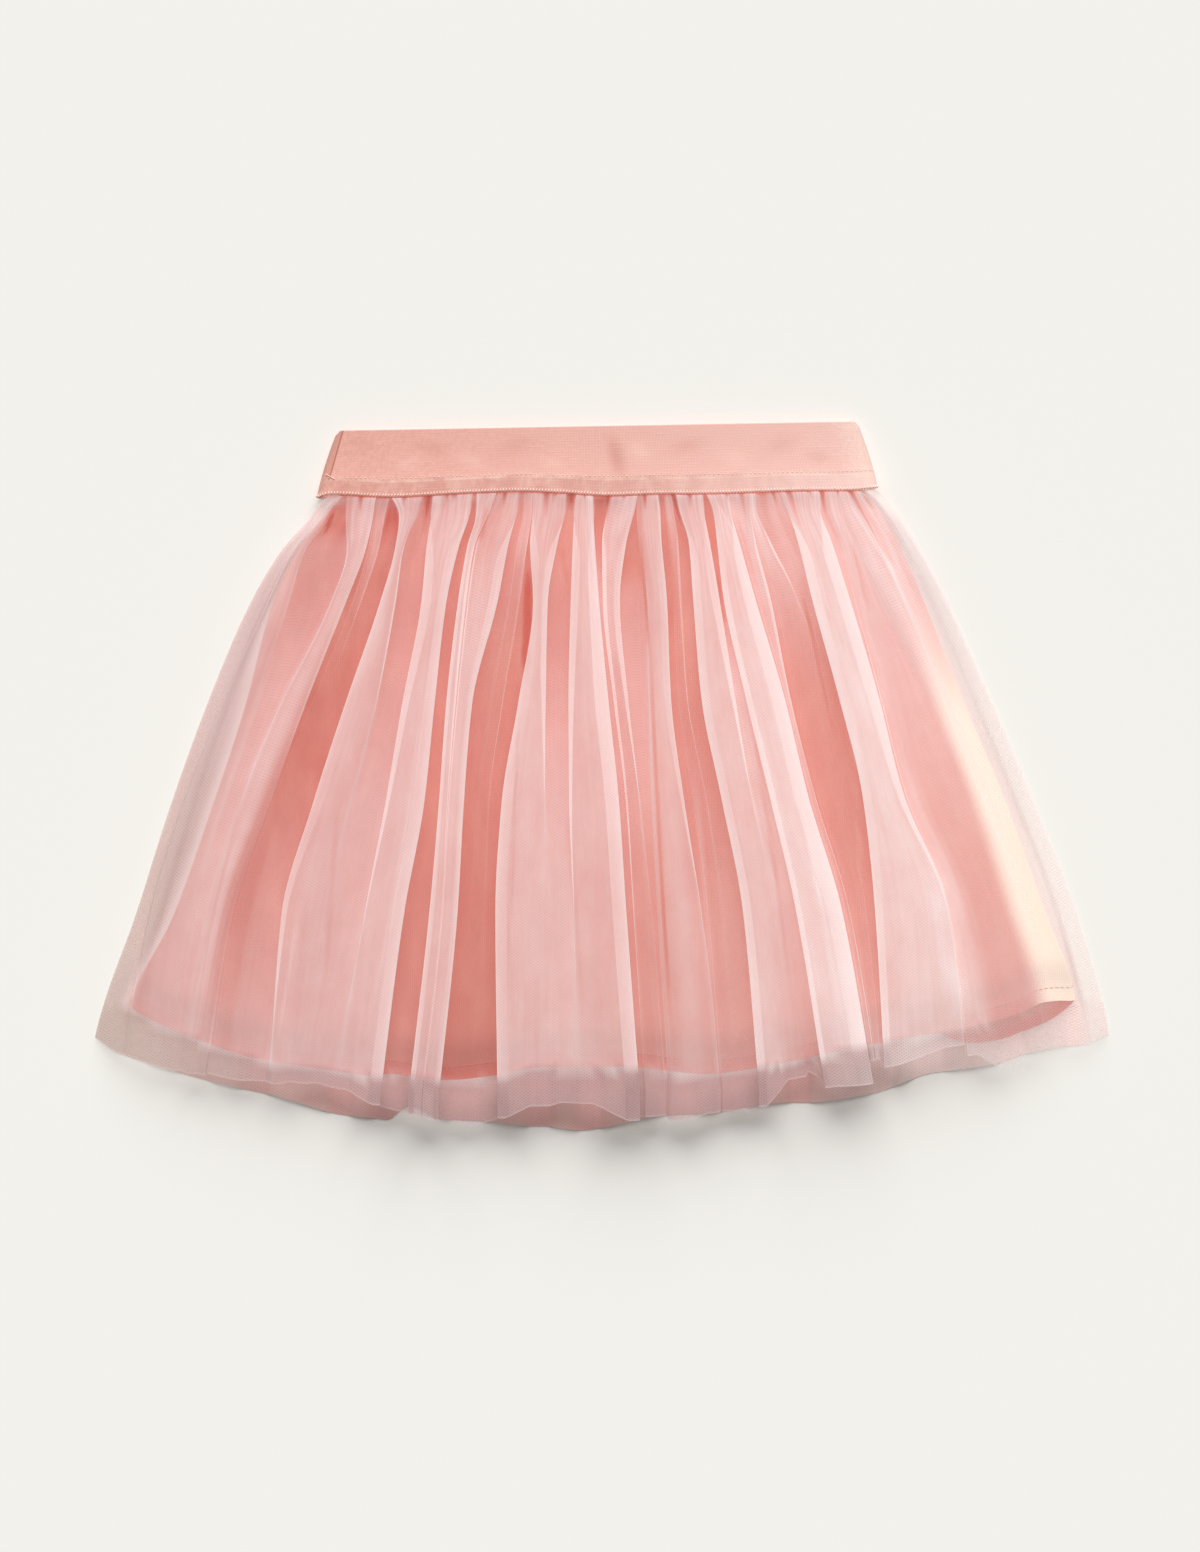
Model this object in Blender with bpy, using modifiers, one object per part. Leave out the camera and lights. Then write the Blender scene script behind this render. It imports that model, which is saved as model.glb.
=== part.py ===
"""A child's tulle skirt laid flat on a table, modelled at real size.

A wide woven elastic is sewn as a ring over the gathered top edges of two skirts: a net overskirt (front and
back panel) and a shorter jersey lining (front and back panel).  The skirt lies on its back, with its waist
towards +Y and the front facing +Z.  The four panels lie on each other, with their top edges inside the ring.

Units in the tables are millimetres.  "Down" is the distance below the waist seam, towards the hem (-Y).
Run with: blender --background --python part.py
"""

import math
from typing import NamedTuple

import bmesh
import bpy

MM = 0.001

# ---------------------------------------------------------------- driving sizes
BAND_HEIGHT = 32.0
BAND_WALL = 1.4
BAND_HALF_WIDTH_SEAM = 134.4
BAND_HALF_WIDTH_TOP = 124.3
BAND_MIDDLE_X = -1.6
WAIST_Y = 136.3
WAIST_SLOPE = 0.0179  # the waist seam rises a little towards the right
CLOTH_WALL = 1.0
SEAM_GAP = 0.65
SEAM_ALLOWANCE = 7.0  # how far the panels reach up inside the band

NET_HALF_HEM = 244.3
NET_SIDE_LENGTH = 258.0
NET_FRONT_SAG = 41.0  # how much longer the hem's arc is at the middle than at the sides
NET_BACK_SAG = 46.0
NET_RIGHT_EXTRA = 7.0
JERSEY_HALF_HEM = 227.5
JERSEY_SIDE_LENGTH = 241.0
JERSEY_SAG = 37.0
JERSEY_RIGHT_EXTRA = 6.0
HEM_ROUNDNESS = 0.75  # exponent of the hem's arc
RIGHT_EXTRA_FROM = 0.6  # share of the half width, outside which the right of a hem hangs lower
LINING_MARGIN = 2.0  # how far outside the lining's side edges the net has come up over them
SHOULDER_TO_FOLD = 1.0

MIDDLE_DOWN = 122.0  # the level at which a fold's middle position is given
HEM_DOWN = 288.0  # the level at which a fold's hem position is given

JERSEY_WAVES = 5.5
JERSEY_WAVE_HEIGHT = 3.0
JERSEY_WAVE_SHIFT = 0.9


# ---------------------------------------------------------------- tables
class Outline(NamedTuple):
    """Where the side edges of the net and of the lining are, at one level."""

    down: float
    net_left: float
    net_right: float
    jersey_left: float
    jersey_right: float


OUTLINES = (
    Outline(-SEAM_ALLOWANCE, -128.0, 125.0, -125.0, 122.5),
    Outline(0.0, -128.5, 125.5, -125.5, 123.0),
    Outline(5.0, -136.3, 135.0, -130.8, 129.0),
    Outline(10.0, -140.5, 140.5, -134.0, 133.0),
    Outline(25.0, -154.0, 150.5, -145.5, 142.0),
    Outline(50.0, -169.0, 164.2, -157.5, 153.0),
    Outline(100.0, -190.5, 186.5, -171.0, 172.5),
    Outline(150.0, -208.5, 207.5, -187.5, 193.5),
    Outline(200.0, -224.5, 227.0, -205.5, 211.5),
    Outline(245.0, -240.5, 240.5, -JERSEY_HALF_HEM, JERSEY_HALF_HEM),
    Outline(262.0, -NET_HALF_HEM, NET_HALF_HEM, -230.0, 230.0),
    Outline(310.0, -246.0, 246.0, -232.0, 232.0),
)


class Layers(NamedTuple):
    """Heights of the layers over the table at one level. Undersides, but the front net's is its mid-wall."""

    down: float
    back_outer: float
    back_inner: float
    lining_back: float
    lining_front: float
    front_side: float  # the front net's mid-wall at its side edge
    lift_share: float  # how much of its full height a fold of the front net has


LAYERS = (
    Layers(-SEAM_ALLOWANCE, 1.75, 1.9, 3.3, 4.65, 6.5, 0.04),
    Layers(0.0, 1.75, 1.9, 3.3, 4.65, 6.5, 0.04),
    Layers(5.0, 0.9, 2.0, 3.7, 5.1, 5.6, 0.3),
    Layers(12.0, 0.0, 2.4, 4.1, 5.5, 3.6, 0.5),
    Layers(26.0, 0.0, 3.2, 4.6, 6.0, 2.3, 0.68),
    Layers(60.0, 0.0, 3.6, 5.0, 6.4, 2.0, 0.85),
    Layers(140.0, 0.0, 3.8, 5.2, 6.6, 2.0, 1.0),
    Layers(310.0, 0.0, 3.8, 5.2, 6.6, 2.0, 1.0),
)


class Fold(NamedTuple):
    """One fold of the front net: where its crest's two edges run, how far it laps, how high it stands.

    Edges are distances from the middle line at the waist, at MIDDLE_DOWN and at HEM_DOWN.  The drops say how
    much lower than the hem's arc the crest's hem is, and that of the valley to its right.
    """

    left_waist: float
    left_middle: float
    left_hem: float
    right_waist: float
    right_middle: float
    right_hem: float
    lap_left: float
    lap_right: float
    lift: float
    drop: float
    valley_drop: float


FRONT_FOLDS = (
    Fold(-125.0, -191.0, -230.0, -119.0, -175.0, -212.0, 1.5, 2.0, 5.0, 0.0, -1.0),
    Fold(-114.0, -163.0, -200.0, -105.0, -151.0, -184.0, 3.0, 4.5, 7.5, 0.0, -7.0),
    Fold(-94.0, -132.0, -165.0, -86.5, -119.0, -146.0, 5.0, 3.5, 8.5, -6.0, -5.0),
    Fold(-81.0, -99.0, -126.0, -66.0, -83.0, -107.0, 4.0, 6.0, 9.5, -2.0, 1.0),
    Fold(-59.5, -76.5, -92.0, -41.5, -64.5, -80.5, 4.0, 4.5, 8.5, 2.0, 4.0),
    Fold(-33.5, -44.5, -49.0, -22.5, -31.0, -30.0, 5.0, 3.5, 9.0, -1.0, -6.0),
    Fold(-13.0, -12.0, -8.0, -3.0, 6.0, 17.0, 4.0, 6.5, 10.0, -4.0, 3.0),
    Fold(3.0, 10.5, 22.5, 17.0, 23.0, 33.0, 3.5, 3.0, 5.0, 2.0, 2.0),
    Fold(21.5, 27.0, 37.5, 28.5, 35.0, 49.0, 2.5, 3.0, 7.5, 4.0, 4.0),
    Fold(39.0, 54.0, 77.0, 48.5, 63.5, 89.0, 4.0, 3.5, 8.5, -2.0, -8.0),
    Fold(56.0, 69.0, 96.0, 68.5, 94.0, 127.0, 5.0, 7.0, 10.5, -3.0, -9.0),
    Fold(90.0, 119.0, 134.0, 101.5, 138.0, 168.0, 5.0, 5.5, 8.5, -14.0, -16.0),
    Fold(105.0, 147.0, 183.0, 111.0, 157.0, 196.0, 3.0, 3.0, 5.0, -15.0, -13.0),
    Fold(115.5, 169.0, 208.0, 121.0, 181.0, 220.0, 3.5, 3.5, 6.0, -7.0, 0.0),
)


class SidePoint(NamedTuple):
    """One point on the way up a fold's side, from the valley to its crest.

    Folded, the side runs back under the crest by the lap; open, it is a slope outside the crest's edge.
    The crest share, of the crest's width, moves the point inwards over the crest in both cases.
    """

    lap_share: float
    folded_rise: float
    open_out: float
    open_rise: float
    crest_share: float


FOLD_SIDE = (
    SidePoint(1.0, 0.0, 1.3, 0.0, 0.0),
    SidePoint(0.9, 0.34, 0.8, 0.3, 0.0),
    SidePoint(0.12, 0.5, 0.4, 0.55, 0.0),
    SidePoint(0.0, 0.76, 0.1, 0.8, 0.0),
    SidePoint(0.0, 1.0, 0.0, 1.0, 0.18),
)
FOLDING_STARTS = 6.0
FOLDING_ENDS = 34.0
MOST_LAP_SHARE = 0.34  # of the crest's width
GATHER_DIP = 0.45  # how far the crest's middle dips at the waist, so that one fold starts as two gathers
GATHER_ENDS = 45.0
CREST_CROWN = 0.12

BACK_FOLD_DROPS = (-2.0, -1.0, -1.0, 3.0, 2.0, -3.0, -1.0, 3.0, -1.0, -5.0, -3.0, -3.0, -6.0, -5.0, -3.0)
BACK_CREST_SHARE = 0.56
BACK_CREST_CHANGE = 0.24  # how unequal the crests' widths are
BACK_CREST_TURN = 1.7
BACK_SLOPE_SHARE = 0.24  # of the crest's width, on each side
BACK_WANDER = 0.16  # how unevenly the back's folds are spaced
BACK_WANDER_TURN = 2.4
BACK_WANDER_START = 0.7


class BandRing(NamedTuple):
    """One ring of the waistband: how far up from the seam, and how thick the flattened ring is there."""

    up: float
    thickness: float


BAND_RINGS = (
    BandRing(0.0, 9.6),
    BandRing(3.0, 9.9),
    BandRing(6.5, 9.8),
    BandRing(9.5, 8.6),
    BandRing(13.0, 7.0),
    BandRing(22.0, 5.8),
    BandRing(BAND_HEIGHT, 5.2),
)
BAND_FLAT_POINTS = 13
BAND_ROUND_POINTS = 5

NEAR_ROWS = (-SEAM_ALLOWANCE, 0.0, 5.0, 12.0, 26.0, 60.0)
FAR_ROWS = (0.22, 0.44, 0.66, 0.85, 1.0)  # shares of the way from the last near row to the hem


# ---------------------------------------------------------------- helpers
def smooth(share):
    """An ease from 0 to 1 for a share that may be outside 0 to 1."""
    share = min(1.0, max(0.0, share))
    return share * share * (3.0 - 2.0 * share)


def read_at(table, column, down):
    """A column of a table at one level, between its rows."""
    if down <= table[0].down:
        return getattr(table[0], column)
    for above, below in zip(table, table[1:]):
        if down <= below.down:
            share = (down - above.down) / (below.down - above.down)
            start = getattr(above, column)
            return start + share * (getattr(below, column) - start)
    return getattr(table[-1], column)


def through_three(at_waist, at_middle, at_hem, down):
    """The parabola through a fold's three given positions."""
    down = max(0.0, down)
    to_middle = (down - MIDDLE_DOWN) * (down - HEM_DOWN) / (MIDDLE_DOWN * HEM_DOWN)
    from_waist = down * (down - HEM_DOWN) / (MIDDLE_DOWN * (MIDDLE_DOWN - HEM_DOWN))
    from_middle = down * (down - MIDDLE_DOWN) / (HEM_DOWN * (HEM_DOWN - MIDDLE_DOWN))
    return at_waist * to_middle + at_middle * from_waist + at_hem * from_middle


def waist_y(x):
    """The waist seam's place at x."""
    return WAIST_Y + WAIST_SLOPE * x


def width_share(x, down):
    """How far across the net x lies, 0 at its left side and 1 at its right."""
    left = read_at(OUTLINES, "net_left", down)
    return (x - left) / (read_at(OUTLINES, "net_right", down) - left)


def hem_arc(x, half_width, side_length, sag, right_extra):
    """How far down the hem is at x: an arc that is longest at the middle."""
    reach = min(1.0, abs(x) / half_width)
    extra = right_extra * smooth((x / half_width - RIGHT_EXTRA_FROM) / (1.0 - RIGHT_EXTRA_FROM))
    return side_length + sag * (1.0 - reach * reach) ** HEM_ROUNDNESS + extra


def row_downs(hem):
    """The levels of a panel's rows, at a place where its hem is this far down."""
    last = NEAR_ROWS[-1]
    return list(NEAR_ROWS) + [last + share * (hem - last) for share in FAR_ROWS]


def jersey_wave(x, down):
    """The soft waves of the front lining, which the net over it follows."""
    height = JERSEY_WAVE_HEIGHT * smooth(down / HEM_DOWN)
    turn = 2.0 * math.pi * JERSEY_WAVES * width_share(x, down) + JERSEY_WAVE_SHIFT
    return height * 0.5 * (1.0 + math.cos(turn))


def shoulders(down):
    """Where the net has come up over the lining's left and right side edges."""
    left = read_at(OUTLINES, "jersey_left", down) - LINING_MARGIN
    return left, read_at(OUTLINES, "jersey_right", down) + LINING_MARGIN


def side_ease(x, down):
    """0 at the net's side edge, and 1 from its shoulder inwards."""
    net_left, net_right = (read_at(OUTLINES, column, down) for column in ("net_left", "net_right"))
    left, right = shoulders(down)
    return smooth(min((x - net_left) / (left - net_left), (net_right - x) / (net_right - right)))


def front_floor(x, down):
    """The mid-wall height of the front net where it lies on the lining."""
    on_lining = read_at(LAYERS, "lining_front", down) + 1.5 * CLOTH_WALL + SEAM_GAP
    at_side = read_at(LAYERS, "front_side", down)
    return at_side + (on_lining + jersey_wave(x, down) - at_side) * side_ease(x, down)


# ---------------------------------------------------------------- meshes and materials
def clear_scene():
    """Removes the objects that Blender starts with."""
    for obj in list(bpy.data.objects):
        bpy.data.objects.remove(obj, do_unlink=True)


def cloth_material(name, colour, roughness):
    """A Principled material for one cloth."""
    material = bpy.data.materials.new(name)
    material.use_nodes = True
    shader = material.node_tree.nodes["Principled BSDF"]
    shader.inputs["Base Color"].default_value = (*colour, 1.0)
    shader.inputs["Roughness"].default_value = roughness
    shader.inputs["Metallic"].default_value = 0.0
    return material


def lofted(name, columns, closed, material, collection):
    """An open surface through columns of points. A closed one joins its last column to its first."""
    shape = bmesh.new()
    grid = [[shape.verts.new([c * MM for c in point]) for point in column] for column in columns]
    neighbours = list(zip(grid, grid[1:] + grid[:1])) if closed else list(zip(grid, grid[1:]))
    for this, following in neighbours:
        for row in range(len(this) - 1):
            shape.faces.new((this[row], this[row + 1], following[row + 1], following[row]))
    mesh = bpy.data.meshes.new(name)
    shape.to_mesh(mesh)
    shape.free()
    mesh.shade_smooth()
    obj = bpy.data.objects.new(name, mesh)
    obj.data.materials.append(material)
    collection.objects.link(obj)
    return obj


def give_wall(obj, thickness, offset):
    """Turns a surface into a wall: offset 1 puts it in front of the surface, -1 behind, 0 on both sides."""
    wall = obj.modifiers.new("wall", "SOLIDIFY")
    wall.thickness = thickness * MM
    wall.offset = offset
    wall.use_even_offset = True
    wall.use_quality_normals = True
    return obj


# ---------------------------------------------------------------- waistband
def band_ring(ring):
    """The outer points of one flattened ring, from the back's left end round to the front."""
    share = ring.up / BAND_HEIGHT
    half = BAND_HALF_WIDTH_SEAM + share * (BAND_HALF_WIDTH_TOP - BAND_HALF_WIDTH_SEAM)
    radius = ring.thickness / 2.0
    flat = half - radius
    across = [-flat + 2.0 * flat * i / (BAND_FLAT_POINTS - 1) for i in range(BAND_FLAT_POINTS)]
    turns = [math.pi * (i + 1) / (BAND_ROUND_POINTS + 1) for i in range(BAND_ROUND_POINTS)]
    outline = [(x, 0.0) for x in across]
    outline += [(flat + radius * math.sin(a), radius - radius * math.cos(a)) for a in turns]
    outline += [(x, 2.0 * radius) for x in reversed(across)]
    outline += [(-flat - radius * math.sin(a), radius + radius * math.cos(a)) for a in turns]
    points = []
    for x, z in outline:
        x += BAND_MIDDLE_X
        points.append((x, waist_y(x) + ring.up, z))
    return points


def make_waistband(material, collection):
    """The elastic ring, thicker at its seam, where the gathered edges are inside it."""
    rings = [band_ring(ring) for ring in BAND_RINGS]
    columns = [list(column) for column in zip(*rings)]
    return give_wall(lofted("waistband", columns, True, material, collection), BAND_WALL, -1.0)


# ---------------------------------------------------------------- net overskirt
def folding(down):
    """0 where a fold's sides are open slopes, at the waist, and 1 where they lie folded under its crest."""
    return smooth((down - FOLDING_STARTS) / (FOLDING_ENDS - FOLDING_STARTS))


def fold_edges(fold, down):
    """Where a fold's crest starts and ends at one level."""
    left = through_three(fold.left_waist, fold.left_middle, fold.left_hem, down)
    right = through_three(fold.right_waist, fold.right_middle, fold.right_hem, down)
    return left, right


def side_place(fold, point, on_left, down):
    """(x, z) of one point of a fold's side at one level."""
    left, right = fold_edges(fold, down)
    edge, inwards = (left, 1.0) if on_left else (right, -1.0)
    lap = min(fold.lap_left if on_left else fold.lap_right, MOST_LAP_SHARE * (right - left))
    folded = folding(down)
    under = folded * point.lap_share * lap - (1.0 - folded) * point.open_out
    x = edge + inwards * (under + point.crest_share * (right - left))
    rise = folded * point.folded_rise + (1.0 - folded) * point.open_rise
    lift = fold.lift * read_at(LAYERS, "lift_share", down)
    return x, front_floor(x, down) + rise * lift


def crest_place(fold, down):
    """(x, z) of the middle of a fold's crest, which dips near the waist and is crowned lower down."""
    left, right = fold_edges(fold, down)
    x = (left + right) / 2.0
    dip = GATHER_DIP * (1.0 - smooth(down / GATHER_ENDS))
    lift = fold.lift * read_at(LAYERS, "lift_share", down)
    return x, front_floor(x, down) + lift * (1.0 + CREST_CROWN * folding(down) - dip)


def valley_place(fold, following, down):
    """(x, z) of the middle of the valley between two folds."""
    x = (fold_edges(fold, down)[1] + fold_edges(following, down)[0]) / 2.0
    return x, front_floor(x, down)


def side_edge_place(column, down):
    """(x, z) of the front net's own side edge."""
    x = read_at(OUTLINES, column, down)
    return x, front_floor(x, down)


def shoulder_place(on_left, down):
    """(x, z) of the front net where it comes up over the lining's side, outside its first or last fold."""
    clear = FOLD_SIDE[0].open_out + SHOULDER_TO_FOLD
    if on_left:
        x = min(shoulders(down)[0], fold_edges(FRONT_FOLDS[0], down)[0] - clear)
    else:
        x = max(shoulders(down)[1], fold_edges(FRONT_FOLDS[-1], down)[1] + clear)
    return x, front_floor(x, down)


def net_column(place, drop):
    """One column of the front net, from inside the band to the hem. place gives (x, z) at a level."""
    hem = hem_arc(place(HEM_DOWN)[0], NET_HALF_HEM, NET_SIDE_LENGTH, NET_FRONT_SAG, NET_RIGHT_EXTRA)
    points = []
    for down in row_downs(hem + drop):
        x, z = place(down)
        points.append((x, waist_y(x) - down, z))
    return points


def make_front_net(material, collection):
    """The front net panel: every fold's left side, crest, right side, and the valley after it."""
    columns = [net_column(lambda down: side_edge_place("net_left", down), 0.0)]
    columns.append(net_column(lambda down: shoulder_place(True, down), 0.0))
    for number, fold in enumerate(FRONT_FOLDS):
        for point in FOLD_SIDE:
            columns.append(net_column(lambda down, p=point, f=fold: side_place(f, p, True, down), fold.drop))
        columns.append(net_column(lambda down, f=fold: crest_place(f, down), fold.drop))
        for point in reversed(FOLD_SIDE):
            columns.append(net_column(lambda down, p=point, f=fold: side_place(f, p, False, down), fold.drop))
        if number + 1 < len(FRONT_FOLDS):
            after = FRONT_FOLDS[number + 1]
            columns.append(
                net_column(lambda down, f=fold, g=after: valley_place(f, g, down), fold.valley_drop)
            )
    columns.append(net_column(lambda down: shoulder_place(False, down), 0.0))
    columns.append(net_column(lambda down: side_edge_place("net_right", down), 0.0))
    return give_wall(lofted("net_front", columns, False, material, collection), CLOTH_WALL, 0.0)


def back_fold_shares(number):
    """Shares of the width where a back fold's crest starts and ends."""
    count = len(BACK_FOLD_DROPS)
    wander = BACK_WANDER * math.sin(BACK_WANDER_TURN * number + BACK_WANDER_START)
    middle = (number + 0.5 + wander) / count
    change = 1.0 + BACK_CREST_CHANGE * math.sin(BACK_CREST_TURN * number)
    half = 0.5 * change * BACK_CREST_SHARE / count
    return middle - half, middle + half


def back_column(share, outer, outer_at_waist, drop):
    """One column of the back net's underside. outer is 1 on a crest, which rests on the table, or 0."""
    hem_x = -NET_HALF_HEM + 2.0 * NET_HALF_HEM * share
    hem = hem_arc(hem_x, NET_HALF_HEM, NET_SIDE_LENGTH, NET_BACK_SAG, NET_RIGHT_EXTRA) + drop
    points = []
    for down in row_downs(hem):
        left = read_at(OUTLINES, "net_left", down)
        x = left + share * (read_at(OUTLINES, "net_right", down) - left)
        low = read_at(LAYERS, "back_outer", down)
        high = low + (read_at(LAYERS, "back_inner", down) - low) * side_ease(x, down)
        here = outer_at_waist + (outer - outer_at_waist) * smooth(down / GATHER_ENDS)
        points.append((x, waist_y(x) - down, high + here * (low - high)))
    return points


def make_back_net(material, collection):
    """The back net panel: its folds' crests lie flat on the table and its valleys carry the lining."""
    columns = [back_column(0.0, 1.0, 1.0, 0.0)]
    for number, drop in enumerate(BACK_FOLD_DROPS):
        start, end = back_fold_shares(number)
        slope = BACK_SLOPE_SHARE * (end - start)
        columns.append(back_column(start, 0.0, 0.0, drop))
        columns.append(back_column(start + slope, 1.0, 1.0, drop))
        columns.append(back_column((start + end) / 2.0, 1.0, 1.0 - GATHER_DIP, drop))
        columns.append(back_column(end - slope, 1.0, 1.0, drop))
        columns.append(back_column(end, 0.0, 0.0, drop))
    columns.append(back_column(1.0, 1.0, 1.0, 0.0))
    return give_wall(lofted("net_back", columns, False, material, collection), CLOTH_WALL, 1.0)


# ---------------------------------------------------------------- jersey lining
def lining_columns(count, layer, waved):
    """The underside of a lining panel, as columns."""
    columns = []
    for number in range(count):
        share = number / (count - 1)
        hem_x = -JERSEY_HALF_HEM + 2.0 * JERSEY_HALF_HEM * share
        hem = hem_arc(hem_x, JERSEY_HALF_HEM, JERSEY_SIDE_LENGTH, JERSEY_SAG, JERSEY_RIGHT_EXTRA)
        column = []
        for down in row_downs(hem):
            left = read_at(OUTLINES, "jersey_left", down)
            x = left + share * (read_at(OUTLINES, "jersey_right", down) - left)
            z = read_at(LAYERS, layer, down) + (jersey_wave(x, down) if waved else 0.0)
            column.append((x, waist_y(x) - down, z))
        columns.append(column)
    return columns


def make_lining(name, count, layer, waved, material, collection):
    """One lining panel, with its wall above its underside."""
    columns = lining_columns(count, layer, waved)
    return give_wall(lofted(name, columns, False, material, collection), CLOTH_WALL, 1.0)


def main():
    """Builds the skirt."""
    clear_scene()
    skirt = bpy.data.collections.new("tulle_skirt")
    bpy.context.scene.collection.children.link(skirt)
    elastic = cloth_material("elastic", (0.87, 0.45, 0.37), 0.75)
    net = cloth_material("net", (0.87, 0.62, 0.6), 0.7)
    jersey = cloth_material("jersey", (0.82, 0.33, 0.26), 0.85)
    make_waistband(elastic, skirt)
    make_front_net(net, skirt)
    make_back_net(net, skirt)
    make_lining("lining_front", 49, "lining_front", True, jersey, skirt)
    make_lining("lining_back", 25, "lining_back", False, jersey, skirt)


main()
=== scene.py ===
"""The looks of a child's tulle skirt that lies flat on a pale floor.

Every piece lies on the form of the CAD solid that it replaces, with the finer folds, gathers, hems and
stitches that a maker would know.  Sizes are in millimetres and become metres where a mesh is made.
"Down" is the distance below the waist seam, towards the hem, and "up" the distance above it.
"""

from __future__ import annotations

import logging
import math
from dataclasses import dataclass, field
from enum import Enum
from functools import partial
from typing import Callable, NamedTuple, Sequence, Union

import bpy
import numpy as np
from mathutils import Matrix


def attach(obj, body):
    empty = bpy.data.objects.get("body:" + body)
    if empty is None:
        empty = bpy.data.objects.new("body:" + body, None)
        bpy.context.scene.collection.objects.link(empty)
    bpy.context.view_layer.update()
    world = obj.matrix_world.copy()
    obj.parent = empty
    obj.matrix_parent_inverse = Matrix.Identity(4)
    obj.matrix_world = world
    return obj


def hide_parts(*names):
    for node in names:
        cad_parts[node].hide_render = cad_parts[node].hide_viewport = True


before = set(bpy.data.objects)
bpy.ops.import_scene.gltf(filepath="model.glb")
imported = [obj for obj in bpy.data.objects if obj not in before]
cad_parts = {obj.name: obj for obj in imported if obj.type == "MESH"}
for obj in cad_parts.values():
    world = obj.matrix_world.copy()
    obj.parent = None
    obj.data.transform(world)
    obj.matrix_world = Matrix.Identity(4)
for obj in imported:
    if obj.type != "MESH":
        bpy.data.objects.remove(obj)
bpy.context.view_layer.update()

MM = 0.001
LOG = logging.getLogger("tulle_skirt")
Array = np.ndarray
Number = Union[Array, float]
Ends = tuple[float, float]
Span = tuple[float, float]  # where a change starts, and over what length it runs
Piece = bpy.types.Object
Material = bpy.types.Material


# ---------------------------------------------------------------- the skirt's own form
class Outline(NamedTuple):
    """Where the side edges of the net and of the lining are, at one level."""

    down: float
    net_left: float
    net_right: float
    jersey_left: float
    jersey_right: float


OUTLINES = tuple(Outline(*row) for row in (
    (-7, -129, 126, -125, 122.5), (0, -132, 129, -125.5, 123), (5, -137, 136, -130.8, 129),
    (10, -140.5, 140.5, -134, 133), (25, -154, 150.5, -145.5, 142), (50, -169, 164.2, -157.5, 153),
    (100, -190.5, 186.5, -171, 172.5), (150, -208.5, 207.5, -187.5, 193.5),
    (200, -224.5, 227, -205.5, 211.5), (245, -240.5, 240.5, -227.5, 227.5), (262, -244.3, 244.3, -230, 230),
    (310, -246, 246, -232, 232),
))


class Layers(NamedTuple):
    """Heights over the floor of the cloth layers at one level."""

    down: float
    back_outer: float
    back_inner: float
    lining_back: float
    lining_front: float
    front_side: float
    lift_share: float


LAYERS = tuple(Layers(*row) for row in (
    (-7, 1.75, 1.9, 3.3, 4.65, 6.5, 0.04), (0, 1.75, 1.9, 3.3, 4.65, 6.5, 0.04),
    (5, 0.9, 2, 3.7, 5.1, 5.6, 0.3), (12, 0, 2.4, 4.1, 5.5, 3.6, 0.5), (26, 0, 3.2, 4.6, 6, 2.3, 0.68),
    (60, 0, 3.6, 5, 6.4, 2, 0.85), (140, 0, 3.8, 5.2, 6.6, 2, 1), (310, 0, 3.8, 5.2, 6.6, 2, 1),
))


def ease(share: Number) -> Array:
    """Eases from 0 to 1.

    Args:
        share: a share that may be outside 0 to 1.

    Returns:
        The eased share, from 0 to 1.
    """
    held = np.clip(share, 0.0, 1.0)
    return held * held * (3.0 - 2.0 * held)


def ramp(value: Number, start: float, length: Number) -> Array:
    """0 up to the start, easing to 1 at a length beyond it."""
    return ease((value - start) / length)


def fade(value: Number, start: float, length: Number) -> Array:
    """1 up to the start, easing to 0 at a length beyond it."""
    return 1.0 - ramp(value, start, length)


def bump(offset: Number) -> Array:
    """A soft hill: 1 where the offset is 0, and 0 from an offset of 1 outwards."""
    return ease(1.0 - np.abs(offset))


def hermite(t: Number) -> tuple[Number, Number, Number, Number]:
    """The weights of a stretch's start, of the tangent there, of its end, and of the tangent there."""
    rest = 1.0 - t
    return (1.0 + 2.0 * t) * rest ** 2, t * rest ** 2, t * t * (3.0 - 2.0 * t), t * t * (t - 1.0)


def smooth_curve(stations: Sequence[float], values: Sequence[float], at: Array) -> Array:
    """Reads a smooth curve that passes through a table's values and never overshoots them.

    Args:
        stations: where the values stand, rising.
        values: the value at each station.
        at: where to read the curve.

    Returns:
        The curve's value at each place.
    """
    x = np.asarray(stations, float)
    y = np.asarray(values, float)
    step = np.diff(x)
    slope = np.diff(y) / step
    before, after = slope[:-1], slope[1:]
    same_way = before * after > 0.0
    inner = np.where(same_way, 2.0 * before * after / np.where(same_way, before + after, 1.0), 0.0)
    tangent = np.concatenate([slope[:1], inner, slope[-1:]])
    place = np.clip(np.asarray(at, float), x[0], x[-1])
    k = np.clip(np.searchsorted(x, place, side="right") - 1, 0, len(step) - 1)
    start, leave, end, arrive = hermite((place - x[k]) / step[k])
    return start * y[k] + leave * step[k] * tangent[k] + end * y[k + 1] + arrive * step[k] * tangent[k + 1]


def table_curve(rows: Sequence[NamedTuple], column: str, at: Array) -> Array:
    """Reads a smooth curve through one column of a table, whose first column holds the stations."""
    return smooth_curve([row[0] for row in rows], [getattr(row, column) for row in rows], at)


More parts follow.
